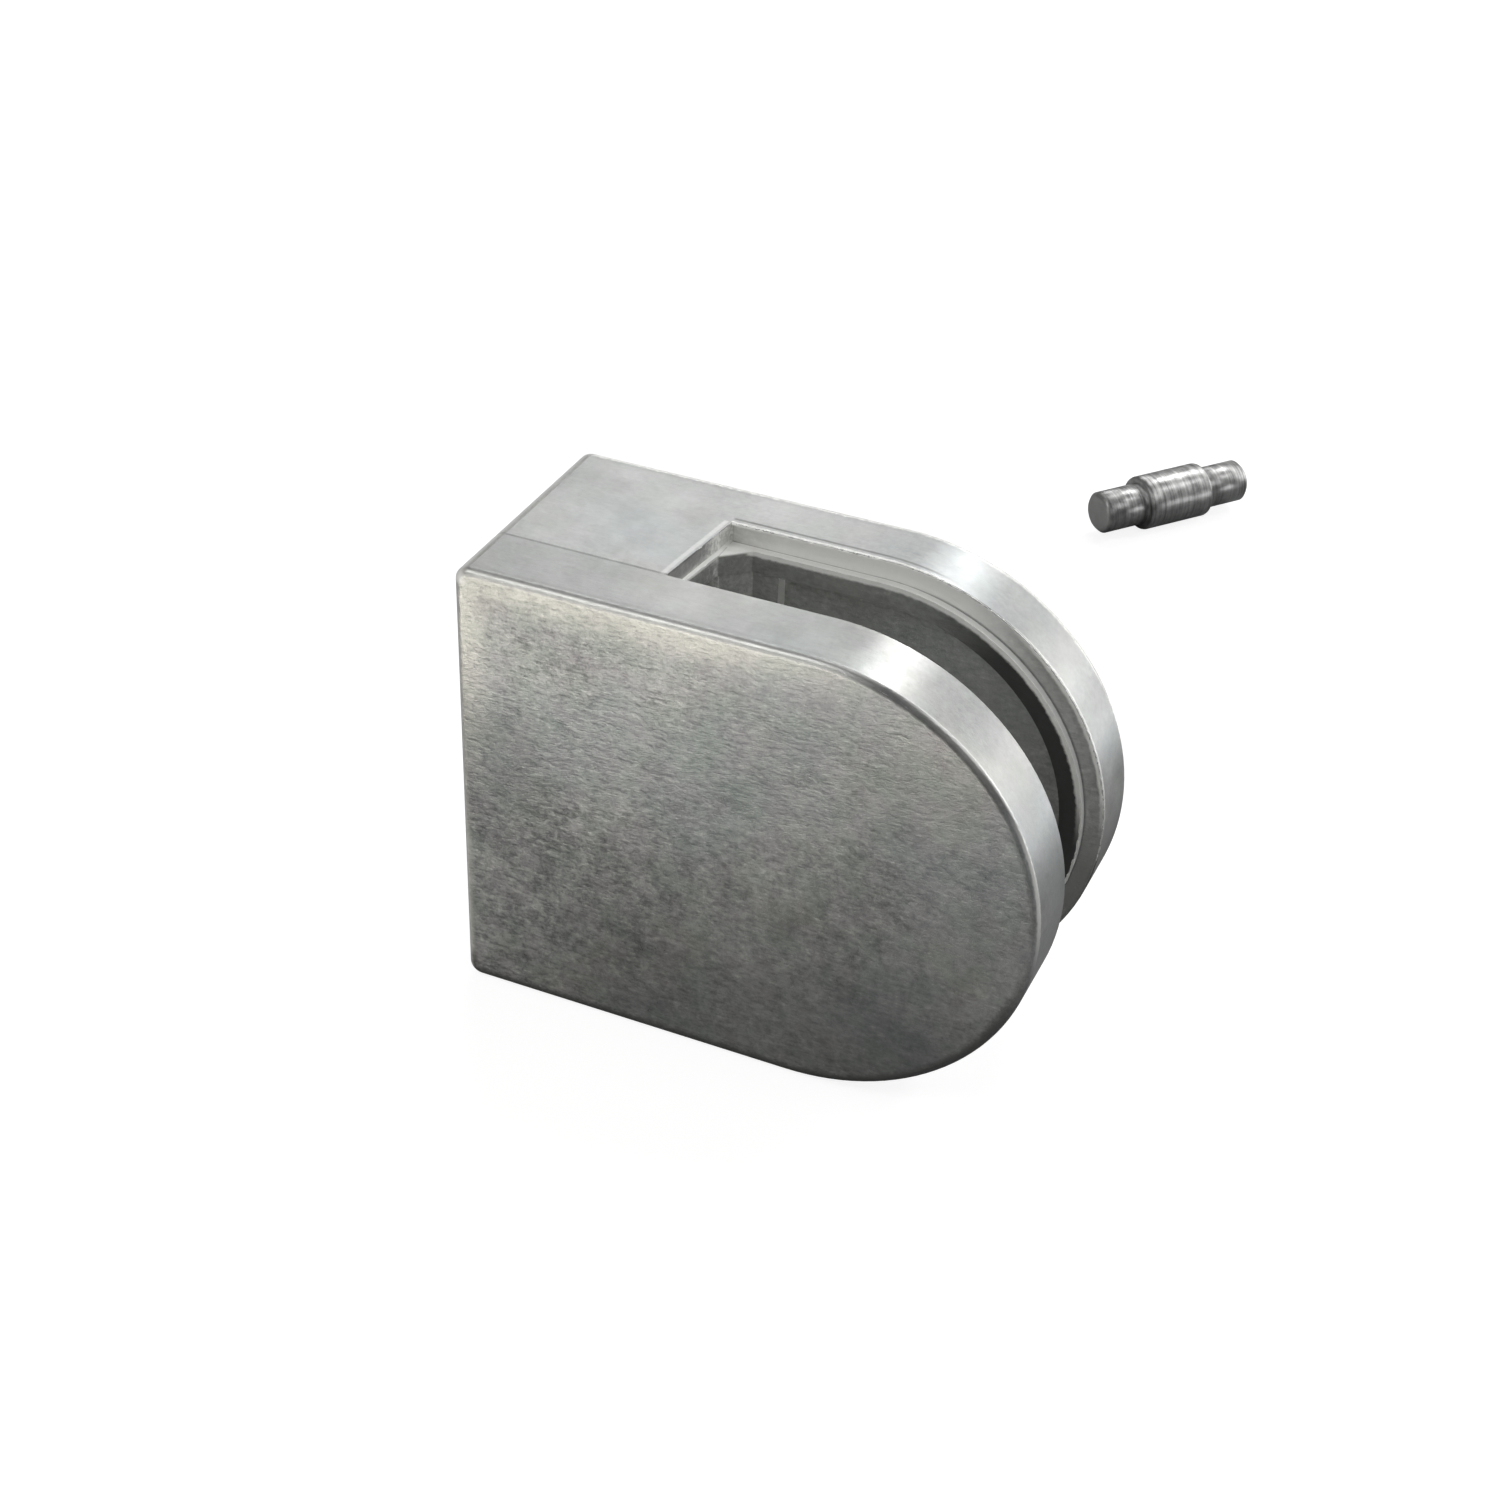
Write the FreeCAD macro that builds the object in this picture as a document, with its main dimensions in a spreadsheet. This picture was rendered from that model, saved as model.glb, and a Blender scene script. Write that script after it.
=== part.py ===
import FreeCAD, Part
import math
import os

import Sketcher

# A clamp for a glass panel about 8 mm thick, cast in zinc in two halves, with its loose safety pin.
# The origin is on the flat back face, on the axis of the hole for the wall bolt.
# X runs towards the round end, Y from the cover towards the rear jaw, and Z is up.

doc = FreeCAD.newDocument("GlassPanelClamp")

# Driving dimensions in millimetres.
SIZES = {
    "body_length": 49.5,
    "body_height": 40.0,
    "body_thickness": 22.0,
    "cover_thickness": 6.4,
    "bolt_axis_depth": 12.0,
    "slot_width": 9.7,
    "slot_start_front": 15.3,
    "slot_draft": 1.0,
    "rim_width": 1.64,
    "rib_width": 1.86,
    "rib_rise": 0.8,
    "pad_length": 5.5,
    "pocket_drop": 1.6,
    "end_rib_rise": 0.2,
    "gusset_foot": 1.1,
    "gusset_reach": 3.3,
    "gusset_size": 2.0,
    "inner_step": 0.25,
    "end_recess_drop": 1.4,
    "web_thickness": 5.5,
    "head_pocket_radius": 7.0,
    "bolt_hole": 8.5,
    "face_round": 0.6,
    "corner_round": 1.2,
    "rim_bevel": 0.15,
    "seam_chamfer": 0.11,
    "screw_edge": 7.5,
    "screw_diameter": 6.0,
    "screw_play": 0.05,
    "screw_sink": 0.2,
    "head_diameter": 11.3,
    "head_land": 0.3,
    "tip_chamfer": 0.7,
    "hex_width": 4.0,
    "hex_depth": 2.6,
    "tip_wall": 2.0,
    "tip_gap": 0.5,
    "pin_body_diameter": 6.0,
    "pin_end_diameter": 4.6,
    "pin_end_length": 5.4,
    "pin_chamfer": 0.4,
    "shoulder_chamfer": 0.25,
    "pin_boss": 9.0,
    "socket_play": 0.15,
    "socket_gap": 0.2,
    "loose_pin_x": 30.6,
    "loose_pin_y": 92.8,
    "loose_pin_angle": 51.6,
}

# Sizes that follow from the driving ones, each worked out in the sheet.
DERIVED = {
    "half_height": "=body_height / 2",
    "arc_centre": "=body_length - body_height / 2",
    "front_face": "=-bolt_axis_depth",
    "rear_face": "=body_thickness - bolt_axis_depth",
    "seam": "=cover_thickness - bolt_axis_depth",
    "rear_rim": "=cover_thickness + slot_width - bolt_axis_depth",
    "rear_rib": "=cover_thickness + slot_width - rib_rise - bolt_axis_depth",
    "front_rib": "=cover_thickness + rib_rise - bolt_axis_depth",
    "inner_rim": "=rim_width + rib_width",
    "slot_start_rear": "=slot_start_front + slot_draft",
    "pad_end": "=slot_start_front + pad_length",
    "gusset_start": "=slot_start_front + gusset_foot",
    "gusset_end": "=slot_start_front + gusset_reach",
    "end_recess": "=slot_start_front - end_recess_drop",
    "screw_distance": "=slot_start_front / 2",
    "screw_rise": "=body_height / 2 - screw_edge",
    "screw_length": "=body_thickness - screw_sink - tip_wall",
    "thread_depth": "=cover_thickness - tip_wall + tip_gap",
    "screw_hole": "=screw_diameter + 2 * screw_play",
    "countersink": "=head_diameter + 2 * (screw_sink + head_land + screw_play)",
    "hex_circle": "=hex_width / cos(30)",
    "pin_body_length": "=slot_width - 2 * rib_rise",
    "pin_length": "=pin_body_length + 2 * pin_end_length",
    "pin_socket": "=pin_end_diameter + 2 * socket_play",
    "pin_socket_depth": "=pin_end_length + socket_gap",
    "floor_level": "=-body_height / 2",
}

sheet = doc.addObject("Spreadsheet::Sheet", "Sizes")
rows = list(SIZES.items()) + list(DERIVED.items())
for row, (name, value) in enumerate(rows, start=1):
    sheet.set(f"A{row}", name.replace("_", " "))
    sheet.set(f"B{row}", str(value))
    sheet.setAlias(f"B{row}", name)
doc.recompute()


def cell(name):
    """The value of one cell, for the first guess of a sketch before its expressions take over."""
    return float(sheet.get(name))


def new_body(name):
    body = doc.addObject("PartDesign::Body", name)
    body.Label = name
    return body


def new_sketch(body, label, plane, offset=None):
    """A sketch on one of the body's origin planes, moved along that plane's normal."""
    sketch = body.newObject("Sketcher::SketchObject", label)
    support = next(f for f in body.Origin.OriginFeatures if f.Role == plane)
    sketch.AttachmentSupport = [(support, "")]
    sketch.MapMode = "FlatFace"
    if offset:
        sketch.setExpression("AttachmentOffset.Base.z", offset)
    return sketch


def drive(sketch, constraint, expression):
    """Adds a dimension to the sketch and binds it to the sheet."""
    index = sketch.addConstraint(constraint)
    sketch.setExpression(f"Constraints[{index}]", expression)
    return index


def sheet_expression(text):
    """Writes the sheet's name before each alias, so short expressions stay readable in this file."""
    words = text.replace("(", " ( ").replace(")", " ) ").split()
    return " ".join(f"Sizes.{word}" if word in SIZES or word in DERIVED else word for word in words)


def d_profile(sketch, left, inset):
    """The outline of the clamp: straight on three sides and a half circle at the round end.

    left is where its straight side stands and inset how far it lies inside the outline.
    """
    radius = cell("half_height") - 1.0
    centre = cell("arc_centre")
    x_left = 3.0
    up, down = FreeCAD.Vector(0, radius, 0), FreeCAD.Vector(0, -radius, 0)
    middle = FreeCAD.Vector(centre, 0, 0)
    start = FreeCAD.Vector(x_left, 0, 0)
    circle = Part.Circle(middle, FreeCAD.Vector(0, 0, 1), radius)
    arc = sketch.addGeometry(Part.ArcOfCircle(circle, -math.pi / 2, math.pi / 2))
    top = sketch.addGeometry(Part.LineSegment(middle + up, start + up))
    side = sketch.addGeometry(Part.LineSegment(start + up, start + down))
    bottom = sketch.addGeometry(Part.LineSegment(start + down, middle + down))
    sketch.addConstraint(Sketcher.Constraint("Tangent", arc, 2, top, 1))
    sketch.addConstraint(Sketcher.Constraint("Coincident", top, 2, side, 1))
    sketch.addConstraint(Sketcher.Constraint("Coincident", side, 2, bottom, 1))
    sketch.addConstraint(Sketcher.Constraint("Tangent", bottom, 2, arc, 1))
    sketch.addConstraint(Sketcher.Constraint("Vertical", side))
    sketch.addConstraint(Sketcher.Constraint("Horizontal", top))
    sketch.addConstraint(Sketcher.Constraint("Horizontal", bottom))
    sketch.addConstraint(Sketcher.Constraint("PointOnObject", arc, 3, -1))
    drive(sketch, Sketcher.Constraint("Radius", arc, radius), sheet_expression(f"half_height - ( {inset} )"))
    drive(sketch, Sketcher.Constraint("DistanceX", -1, 1, arc, 3, centre), sheet_expression("arc_centre"))
    drive(sketch, Sketcher.Constraint("DistanceX", -1, 1, side, 1, x_left), sheet_expression(left))


def polygon(sketch, points):
    """A closed polygon whose corners are given as pairs of (first guess, expression)."""
    corners = [FreeCAD.Vector(x[0], y[0], 0) for x, y in points]
    lines = []
    for here, there in zip(corners, corners[1:] + corners[:1]):
        lines.append(sketch.addGeometry(Part.LineSegment(here, there)))
    for here, there in zip(lines, lines[1:] + lines[:1]):
        sketch.addConstraint(Sketcher.Constraint("Coincident", here, 2, there, 1))
    for line, corner, (x, y) in zip(lines, corners, points):
        if x[1] == "0":
            sketch.addConstraint(Sketcher.Constraint("PointOnObject", line, 1, -2))
        else:
            drive(sketch, Sketcher.Constraint("DistanceX", -1, 1, line, 1, corner.x), sheet_expression(x[1]))
        if y[1] == "0":
            sketch.addConstraint(Sketcher.Constraint("PointOnObject", line, 1, -1))
        else:
            drive(sketch, Sketcher.Constraint("DistanceY", -1, 1, line, 1, corner.y), sheet_expression(y[1]))


def corner(x, y):
    """One corner of a polygon from two sheet expressions, with their present values as the guess."""
    values = {name: cell(name) for name in list(SIZES) + list(DERIVED)}
    guess = []
    for text in (x, y):
        total, sign = 0.0, 1.0
        for word in text.split():
            if word in ("+", "-"):
                sign = 1.0 if word == "+" else -1.0
            else:
                total += sign * (values[word] if word in values else float(word))
        guess.append(total)
    return (guess[0], x), (guess[1], y)


def circle(sketch, x, y, diameter):
    """A circle with its centre at sheet expressions x and y."""
    place = corner(x, y)
    centre = FreeCAD.Vector(place[0][0], place[1][0], 0)
    size = cell(diameter)
    ring = sketch.addGeometry(Part.Circle(centre, FreeCAD.Vector(0, 0, 1), size / 2))
    drive(sketch, Sketcher.Constraint("Diameter", ring, size), sheet_expression(diameter))
    if x == "0":
        sketch.addConstraint(Sketcher.Constraint("PointOnObject", ring, 3, -2))
    else:
        drive(sketch, Sketcher.Constraint("DistanceX", -1, 1, ring, 3, centre.x), sheet_expression(x))
    if y == "0":
        sketch.addConstraint(Sketcher.Constraint("PointOnObject", ring, 3, -1))
    else:
        drive(sketch, Sketcher.Constraint("DistanceY", -1, 1, ring, 3, centre.y), sheet_expression(y))


def feature(body, kind, label, sketch, length, **settings):
    """A pad or pocket whose length is bound to the sheet."""
    item = body.newObject(f"PartDesign::{kind}", label)
    item.Profile = sketch
    if length:
        item.setExpression("Length", sheet_expression(length))
    for key, value in settings.items():
        setattr(item, key, value)
    sketch.Visibility = False
    doc.recompute()
    body.Tip = item
    return item


def edges_where(item, test):
    """Names of the edges of a feature whose points all pass the test."""
    names = []
    for number, edge in enumerate(item.Shape.Edges, start=1):
        first, span = edge.FirstParameter, edge.LastParameter - edge.FirstParameter
        points = [edge.valueAt(first + span * step / 4) for step in range(5)]
        if all(test(point) for point in points):
            names.append(f"Edge{number}")
    return names


def dress(body, kind, label, base, test, size):
    """A fillet or chamfer on the edges that pass the test, with its size bound to the sheet."""
    names = edges_where(base, test)
    if not names:
        raise ValueError(f"{label}: no edges found")
    item = body.newObject(f"PartDesign::{kind}", label)
    item.Base = (base, names)
    item.setExpression("Radius" if kind == "Fillet" else "Size", sheet_expression(size))
    doc.recompute()
    body.Tip = item
    return item


def near(a, b, slack=0.02):
    return abs(a - b) < slack


def on_outline(point):
    """True for a point on the clamp's outline."""
    radius = cell("half_height")
    if point.x > cell("arc_centre"):
        return near(math.hypot(point.x - cell("arc_centre"), point.z), radius)
    return near(abs(point.z), radius)


def drill(body, label, sketch, diameter, depth, **settings):
    """A round hole made with the hole feature, through all or to a depth bound to the sheet."""
    item = body.newObject("PartDesign::Hole", label)
    item.Profile = sketch
    doc.recompute()
    item.DepthType = "Dimension" if depth else "ThroughAll"
    for key, value in settings.items():
        setattr(item, key, value)
    item.setExpression("Diameter", sheet_expression(diameter))
    if depth:
        item.setExpression("Depth", sheet_expression(depth))
        item.DrillPoint = "Flat"
    sketch.Visibility = False
    doc.recompute()
    body.Tip = item
    return item


# Rear casting: a block that is bolted to the post and the rear jaw that grows out of it.
base = new_body("base_jaw")

sketch = new_sketch(base, "BaseOutline", "XZ_Plane", "-Sizes.rear_face")
d_profile(sketch, "0", "0")
pad = feature(base, "Pad", "BasePad", sketch, "body_thickness - cover_thickness", Reversed=False)

# Outer edges as cast: rounded up the flat back and round the rear face, bevelled along the seam.
rear = cell("rear_face")
seam = cell("seam")
last = dress(base, "Fillet", "BackCorners", pad,
             lambda p: near(p.x, 0) and near(abs(p.z), cell("half_height")), "corner_round")
last = dress(base, "Fillet", "RearEdge", last, lambda p: near(p.y, rear), "face_round")
last = dress(base, "Chamfer", "SeamEdge", last, lambda p: near(p.y, seam), "seam_chamfer")

# The slot for the glass leaves the block's end wall a little out of square, as a casting needs.
sketch = new_sketch(base, "SlotPlan", "XY_Plane")
polygon(sketch, [
    corner("slot_start_front", "seam"),
    corner("body_length + 5", "seam"),
    corner("body_length + 5", "rear_rim"),
    corner("slot_start_rear", "rear_rim"),
])
feature(base, "Pocket", "Slot", sketch, "body_height", Midplane=True)

# The raised rib runs round the jaw just inside its edge and keeps the rubber inlay in place.
sketch = new_sketch(base, "RibRing", "XZ_Plane", "-Sizes.rear_face")
d_profile(sketch, "slot_start_front - 1", "rim_width")
d_profile(sketch, "pad_end", "inner_rim")
feature(base, "Pad", "Rib", sketch, "rear_face - rear_rib", Reversed=False)

# The rib turns up the end wall, with a gusset across the corner.
sketch = new_sketch(base, "EndRibPlan", "XY_Plane")
polygon(sketch, [
    corner("slot_start_front - 1", "seam"),
    corner("slot_start_front + end_rib_rise", "seam"),
    corner("gusset_start", "rear_rib - gusset_size"),
    corner("gusset_end", "rear_rib"),
    corner("gusset_end", "rear_rim"),
    corner("slot_start_front - 1", "rear_rim"),
])
feature(base, "Pad", "EndRib", sketch, "body_height - 2 * rim_width", Midplane=True)

# Inside the rib the jaw is lower, first by a fine step and then by the depth of the inlay.
sketch = new_sketch(base, "InnerStepPlan", "XY_Plane")
polygon(sketch, [
    corner("end_recess", "seam - 1"),
    corner("slot_start_rear + 1", "seam - 1"),
    corner("pad_end", "rear_rib - gusset_size"),
    corner("pad_end", "rear_rib + inner_step"),
    corner("gusset_end", "rear_rib + inner_step"),
    corner("gusset_start", "rear_rib - gusset_size + inner_step"),
    corner("end_recess", "rear_rib - gusset_size"),
])
feature(base, "Pocket", "InnerStep", sketch, "body_height - 2 * inner_rim", Midplane=True)

sketch = new_sketch(base, "InlayPocketOutline", "XZ_Plane", "-Sizes.rear_rib")
d_profile(sketch, "pad_end", "inner_rim")
feature(base, "Pocket", "InlayPocket", sketch, "pocket_drop", Reversed=False)

# A round boss takes the safety pin that goes through a hole in the glass.
sketch = new_sketch(base, "PinBossCircle", "XZ_Plane", "-Sizes.rear_face")
circle(sketch, "arc_centre", "0", "pin_boss")
feature(base, "Pad", "PinBoss", sketch, "rear_face - rear_rib", Reversed=False)

sketch = new_sketch(base, "PinSocketCircle", "XZ_Plane", "-Sizes.rear_rib")
circle(sketch, "arc_centre", "0", "pin_socket")
feature(base, "Pocket", "PinSocket", sketch, "pin_socket_depth", Reversed=False)

# The wall bolt's head lies in a pocket that is open to the slot and to the cover.
sketch = new_sketch(base, "HeadPocketSection", "YZ_Plane", "Sizes.web_thickness")
reach = cell("head_pocket_radius")
depth = -cell("seam") + 1
arc = sketch.addGeometry(
    Part.ArcOfCircle(Part.Circle(FreeCAD.Vector(0, 0, 0), FreeCAD.Vector(0, 0, 1), reach), -math.pi / 2, math.pi / 2)
)
sides = [
    sketch.addGeometry(Part.LineSegment(FreeCAD.Vector(0, reach, 0), FreeCAD.Vector(-depth, reach, 0))),
    sketch.addGeometry(Part.LineSegment(FreeCAD.Vector(-depth, reach, 0), FreeCAD.Vector(-depth, -reach, 0))),
    sketch.addGeometry(Part.LineSegment(FreeCAD.Vector(-depth, -reach, 0), FreeCAD.Vector(0, -reach, 0))),
]
sketch.addConstraint(Sketcher.Constraint("Coincident", arc, 3, -1, 1))
sketch.addConstraint(Sketcher.Constraint("Tangent", arc, 2, sides[0], 1))
sketch.addConstraint(Sketcher.Constraint("Coincident", sides[0], 2, sides[1], 1))
sketch.addConstraint(Sketcher.Constraint("Coincident", sides[1], 2, sides[2], 1))
sketch.addConstraint(Sketcher.Constraint("Tangent", sides[2], 2, arc, 1))
sketch.addConstraint(Sketcher.Constraint("Vertical", sides[1]))
sketch.addConstraint(Sketcher.Constraint("Horizontal", sides[0]))
sketch.addConstraint(Sketcher.Constraint("Horizontal", sides[2]))
drive(sketch, Sketcher.Constraint("Radius", arc, reach), "Sizes.head_pocket_radius")
drive(sketch, Sketcher.Constraint("DistanceX", sides[1], 1, -1, 1, depth), "1 - Sizes.seam")
feature(base, "Pocket", "HeadPocket", sketch, "pad_end - web_thickness", Reversed=True)

sketch = new_sketch(base, "BoltCircle", "YZ_Plane")
circle(sketch, "0", "0", "bolt_hole")
feature(base, "Pocket", "BoltHole", sketch, "web_thickness + 1", Reversed=True)

# Two countersunk holes in the hidden rear face take the clamp screws.
sketch = new_sketch(base, "ScrewCircles", "XZ_Plane", "-Sizes.rear_face")
for side in ("screw_rise", "0 - screw_rise"):
    circle(sketch, "screw_distance", side, "screw_hole")
drill(
    base, "ScrewHoles", sketch, "screw_hole", None, Reversed=True,
    HoleCutType="Countersink", HoleCutCountersinkAngle=90.0, HoleCutDiameter=cell("countersink"),
)
base.Tip.setExpression("HoleCutDiameter", "Sizes.countersink")
doc.recompute()

# The rim of the slot has a fine bevel.
last = dress(base, "Chamfer", "SlotRim", base.Tip,
             lambda p: near(p.y, cell("rear_rim")) and p.x > cell("slot_start_rear") and on_outline(p), "rim_bevel")

# Cover casting: the front jaw, plain outside, with the same rib and pocket inside.
cover = new_body("front_jaw")

sketch = new_sketch(cover, "CoverOutline", "XZ_Plane", "-Sizes.seam")
d_profile(sketch, "0", "0")
feature(cover, "Pad", "CoverPad", sketch, "cover_thickness", Reversed=False)

sketch = new_sketch(cover, "CoverRibRing", "XZ_Plane", "-Sizes.seam")
d_profile(sketch, "slot_start_rear + 0.5", "rim_width")
d_profile(sketch, "pad_end", "inner_rim")
feature(cover, "Pad", "CoverRib", sketch, "rib_rise", Reversed=True)

sketch = new_sketch(cover, "CoverInlayOutline", "XZ_Plane", "-Sizes.front_rib")
d_profile(sketch, "pad_end", "inner_rim")
feature(cover, "Pocket", "CoverInlayPocket", sketch, "pocket_drop", Reversed=True)

sketch = new_sketch(cover, "CoverBossCircle", "XZ_Plane", "-Sizes.front_rib")
circle(sketch, "arc_centre", "0", "pin_boss")
feature(cover, "Pad", "CoverPinBoss", sketch, "pocket_drop + 0.5", Reversed=False)

sketch = new_sketch(cover, "CoverSocketCircle", "XZ_Plane", "-Sizes.front_rib")
circle(sketch, "arc_centre", "0", "pin_socket")
feature(cover, "Pocket", "CoverPinSocket", sketch, "pin_socket_depth", Reversed=True)

# A shallow round hollow clears the bolt's head, on the same axis as the pocket in the rear casting.
sketch = new_sketch(cover, "HeadReliefCircle", "YZ_Plane", "Sizes.web_thickness")
circle(sketch, "0", "0", "head_pocket_radius")
sketch.setExpression("Constraints[0]", "2 * Sizes.head_pocket_radius")
feature(cover, "Pocket", "HeadRelief", sketch, "pad_end - web_thickness", Reversed=True)

sketch = new_sketch(cover, "ThreadCircles", "XZ_Plane", "-Sizes.seam")
for side in ("screw_rise", "0 - screw_rise"):
    circle(sketch, "screw_distance", side, "screw_hole")
feature(cover, "Pocket", "ThreadHoles", sketch, "thread_depth", Reversed=True)

front = cell("front_face")
last = dress(cover, "Fillet", "CoverCorners", cover.Tip,
             lambda p: near(p.x, 0) and near(abs(p.z), cell("half_height")), "corner_round")
last = dress(cover, "Fillet", "FrontEdge", last, lambda p: near(p.y, front), "face_round")
last = dress(cover, "Chamfer", "CoverSlotRim", last,
             lambda p: near(p.y, seam) and p.x > cell("arc_centre") - 0.5 and on_outline(p), "rim_bevel")


# Countersunk socket screws that pull the cover on to the rear casting.
def clamp_screw(name, rise):
    """A turned screw about its own Y axis with its head's top at the origin, and a hexagon socket."""
    screw = new_body(name)
    profile = new_sketch(screw, f"{name}_profile", "XY_Plane")
    cone_end = (cell("screw_diameter") - cell("head_diameter")) / 2 - cell("head_land")
    tip_radius = cell("screw_diameter") / 2 - cell("tip_chamfer")
    polygon(profile, [
        corner("0", "0"),
        ((cell("head_diameter") / 2, "head_diameter / 2"), (0, "0")),
        ((cell("head_diameter") / 2, "head_diameter / 2"), (-cell("head_land"), "0 - head_land")),
        ((cell("screw_diameter") / 2, "screw_diameter / 2"),
         (cone_end, "0 - head_land - head_diameter / 2 + screw_diameter / 2")),
        ((cell("screw_diameter") / 2, "screw_diameter / 2"),
         (cell("tip_chamfer") - cell("screw_length"), "0 - screw_length + tip_chamfer")),
        ((tip_radius, "screw_diameter / 2 - tip_chamfer"), (-cell("screw_length"), "0 - screw_length")),
        ((0, "0"), (-cell("screw_length"), "0 - screw_length")),
    ])
    turned = screw.newObject("PartDesign::Revolution", f"{name}_turned")
    turned.Profile = profile
    turned.ReferenceAxis = (profile, ["V_Axis"])
    turned.Angle = 360.0
    profile.Visibility = False
    doc.recompute()
    screw.Tip = turned

    socket = new_sketch(screw, f"{name}_socket", "XZ_Plane")
    points = []
    size = cell("hex_circle") / 2
    for step in range(6):
        angle = math.radians(60 * step)
        points.append(FreeCAD.Vector(size * math.cos(angle), size * math.sin(angle), 0))
    ring = socket.addGeometry(Part.Circle(FreeCAD.Vector(0, 0, 0), FreeCAD.Vector(0, 0, 1), size), True)
    socket.addConstraint(Sketcher.Constraint("Coincident", ring, 3, -1, 1))
    drive(socket, Sketcher.Constraint("Diameter", ring, 2 * size), "Sizes.hex_circle")
    lines = [socket.addGeometry(Part.LineSegment(a, b)) for a, b in zip(points, points[1:] + points[:1])]
    for here, there in zip(lines, lines[1:] + lines[:1]):
        socket.addConstraint(Sketcher.Constraint("Coincident", here, 2, there, 1))
    for line in lines:
        socket.addConstraint(Sketcher.Constraint("PointOnObject", line, 1, ring))
    for line in lines[1:]:
        socket.addConstraint(Sketcher.Constraint("Equal", lines[0], line))
    socket.addConstraint(Sketcher.Constraint("PointOnObject", lines[0], 1, -1))
    feature(screw, "Pocket", f"{name}_hexagon", socket, "hex_depth", Reversed=True)
    screw.setExpression("Placement.Base.x", "Sizes.screw_distance")
    screw.setExpression("Placement.Base.y", "Sizes.rear_face - Sizes.screw_sink")
    screw.setExpression("Placement.Base.z", rise)
    return screw


upper_screw = clamp_screw("clamp_screw_upper", "Sizes.screw_rise")
lower_screw = clamp_screw("clamp_screw_lower", "-Sizes.screw_rise")

# The safety pin is turned from bar, with a thick middle and two thinner ends. It lies beside the clamp.
pin = new_body("safety_pin")
sketch = new_sketch(pin, "PinProfile", "XZ_Plane")
half, middle = cell("pin_length") / 2, cell("pin_body_length") / 2
thin, thick = cell("pin_end_diameter") / 2, cell("pin_body_diameter") / 2
bevel, shoulder = cell("pin_chamfer"), cell("shoulder_chamfer")
polygon(sketch, [
    ((-half, "0 - pin_length / 2"), (0, "0")),
    ((-half, "0 - pin_length / 2"), (thin - bevel, "pin_end_diameter / 2 - pin_chamfer")),
    ((-half + bevel, "0 - pin_length / 2 + pin_chamfer"), (thin, "pin_end_diameter / 2")),
    ((-middle, "0 - pin_body_length / 2"), (thin, "pin_end_diameter / 2")),
    ((-middle, "0 - pin_body_length / 2"), (thick - shoulder, "pin_body_diameter / 2 - shoulder_chamfer")),
    ((-middle + shoulder, "0 - pin_body_length / 2 + shoulder_chamfer"), (thick, "pin_body_diameter / 2")),
    ((middle - shoulder, "pin_body_length / 2 - shoulder_chamfer"), (thick, "pin_body_diameter / 2")),
    ((middle, "pin_body_length / 2"), (thick - shoulder, "pin_body_diameter / 2 - shoulder_chamfer")),
    ((middle, "pin_body_length / 2"), (thin, "pin_end_diameter / 2")),
    ((half - bevel, "pin_length / 2 - pin_chamfer"), (thin, "pin_end_diameter / 2")),
    ((half, "pin_length / 2"), (thin - bevel, "pin_end_diameter / 2 - pin_chamfer")),
    ((half, "pin_length / 2"), (0, "0")),
])
turned = pin.newObject("PartDesign::Revolution", "PinTurned")
turned.Profile = sketch
turned.ReferenceAxis = (sketch, ["H_Axis"])
turned.Angle = 360.0
sketch.Visibility = False
doc.recompute()
pin.Tip = turned
pin.setExpression("Placement.Base.x", "Sizes.loose_pin_x")
pin.setExpression("Placement.Base.y", "Sizes.loose_pin_y")
pin.setExpression("Placement.Base.z", "Sizes.floor_level + Sizes.pin_body_diameter / 2")
pin.setExpression("Placement.Rotation.Angle", "Sizes.loose_pin_angle")

doc.recompute()
for item in doc.Objects:
    if "Invalid" in item.State or "Error" in item.State:
        raise ValueError(f"{item.Label} is not up to date: {item.State}")

os.makedirs("parts", exist_ok=True)
for body in (base, cover, upper_screw, lower_screw, pin):
    if body.Shape.isNull() or not body.Shape.isValid() or len(body.Shape.Solids) != 1:
        raise ValueError(f"{body.Label} is not one valid solid")
    body.Shape.exportStep(f"parts/{body.Label}.step")
    box = body.Shape.BoundBox
    print(f"{body.Label}: {body.Shape.Volume:.1f} mm3, x {box.XMin:.2f}..{box.XMax:.2f},"
          f" y {box.YMin:.2f}..{box.YMax:.2f}, z {box.ZMin:.2f}..{box.ZMax:.2f}")
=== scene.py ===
# %% [markdown]
# A clamp for a glass panel, as cast
#
# The object is a small zinc clamp: a block with a flat back, two jaws with a round end and a slot
# between them. Its stepped safety pin lies on the table behind it. The solids come from a packed
# CAD model, and this lesson dresses them: cast skin, ragged edges, screw threads and turned steel.

# %% Load the frame
import math
from functools import partial
from types import SimpleNamespace

import bpy
import numpy as np
from mathutils import Matrix, Vector


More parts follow.
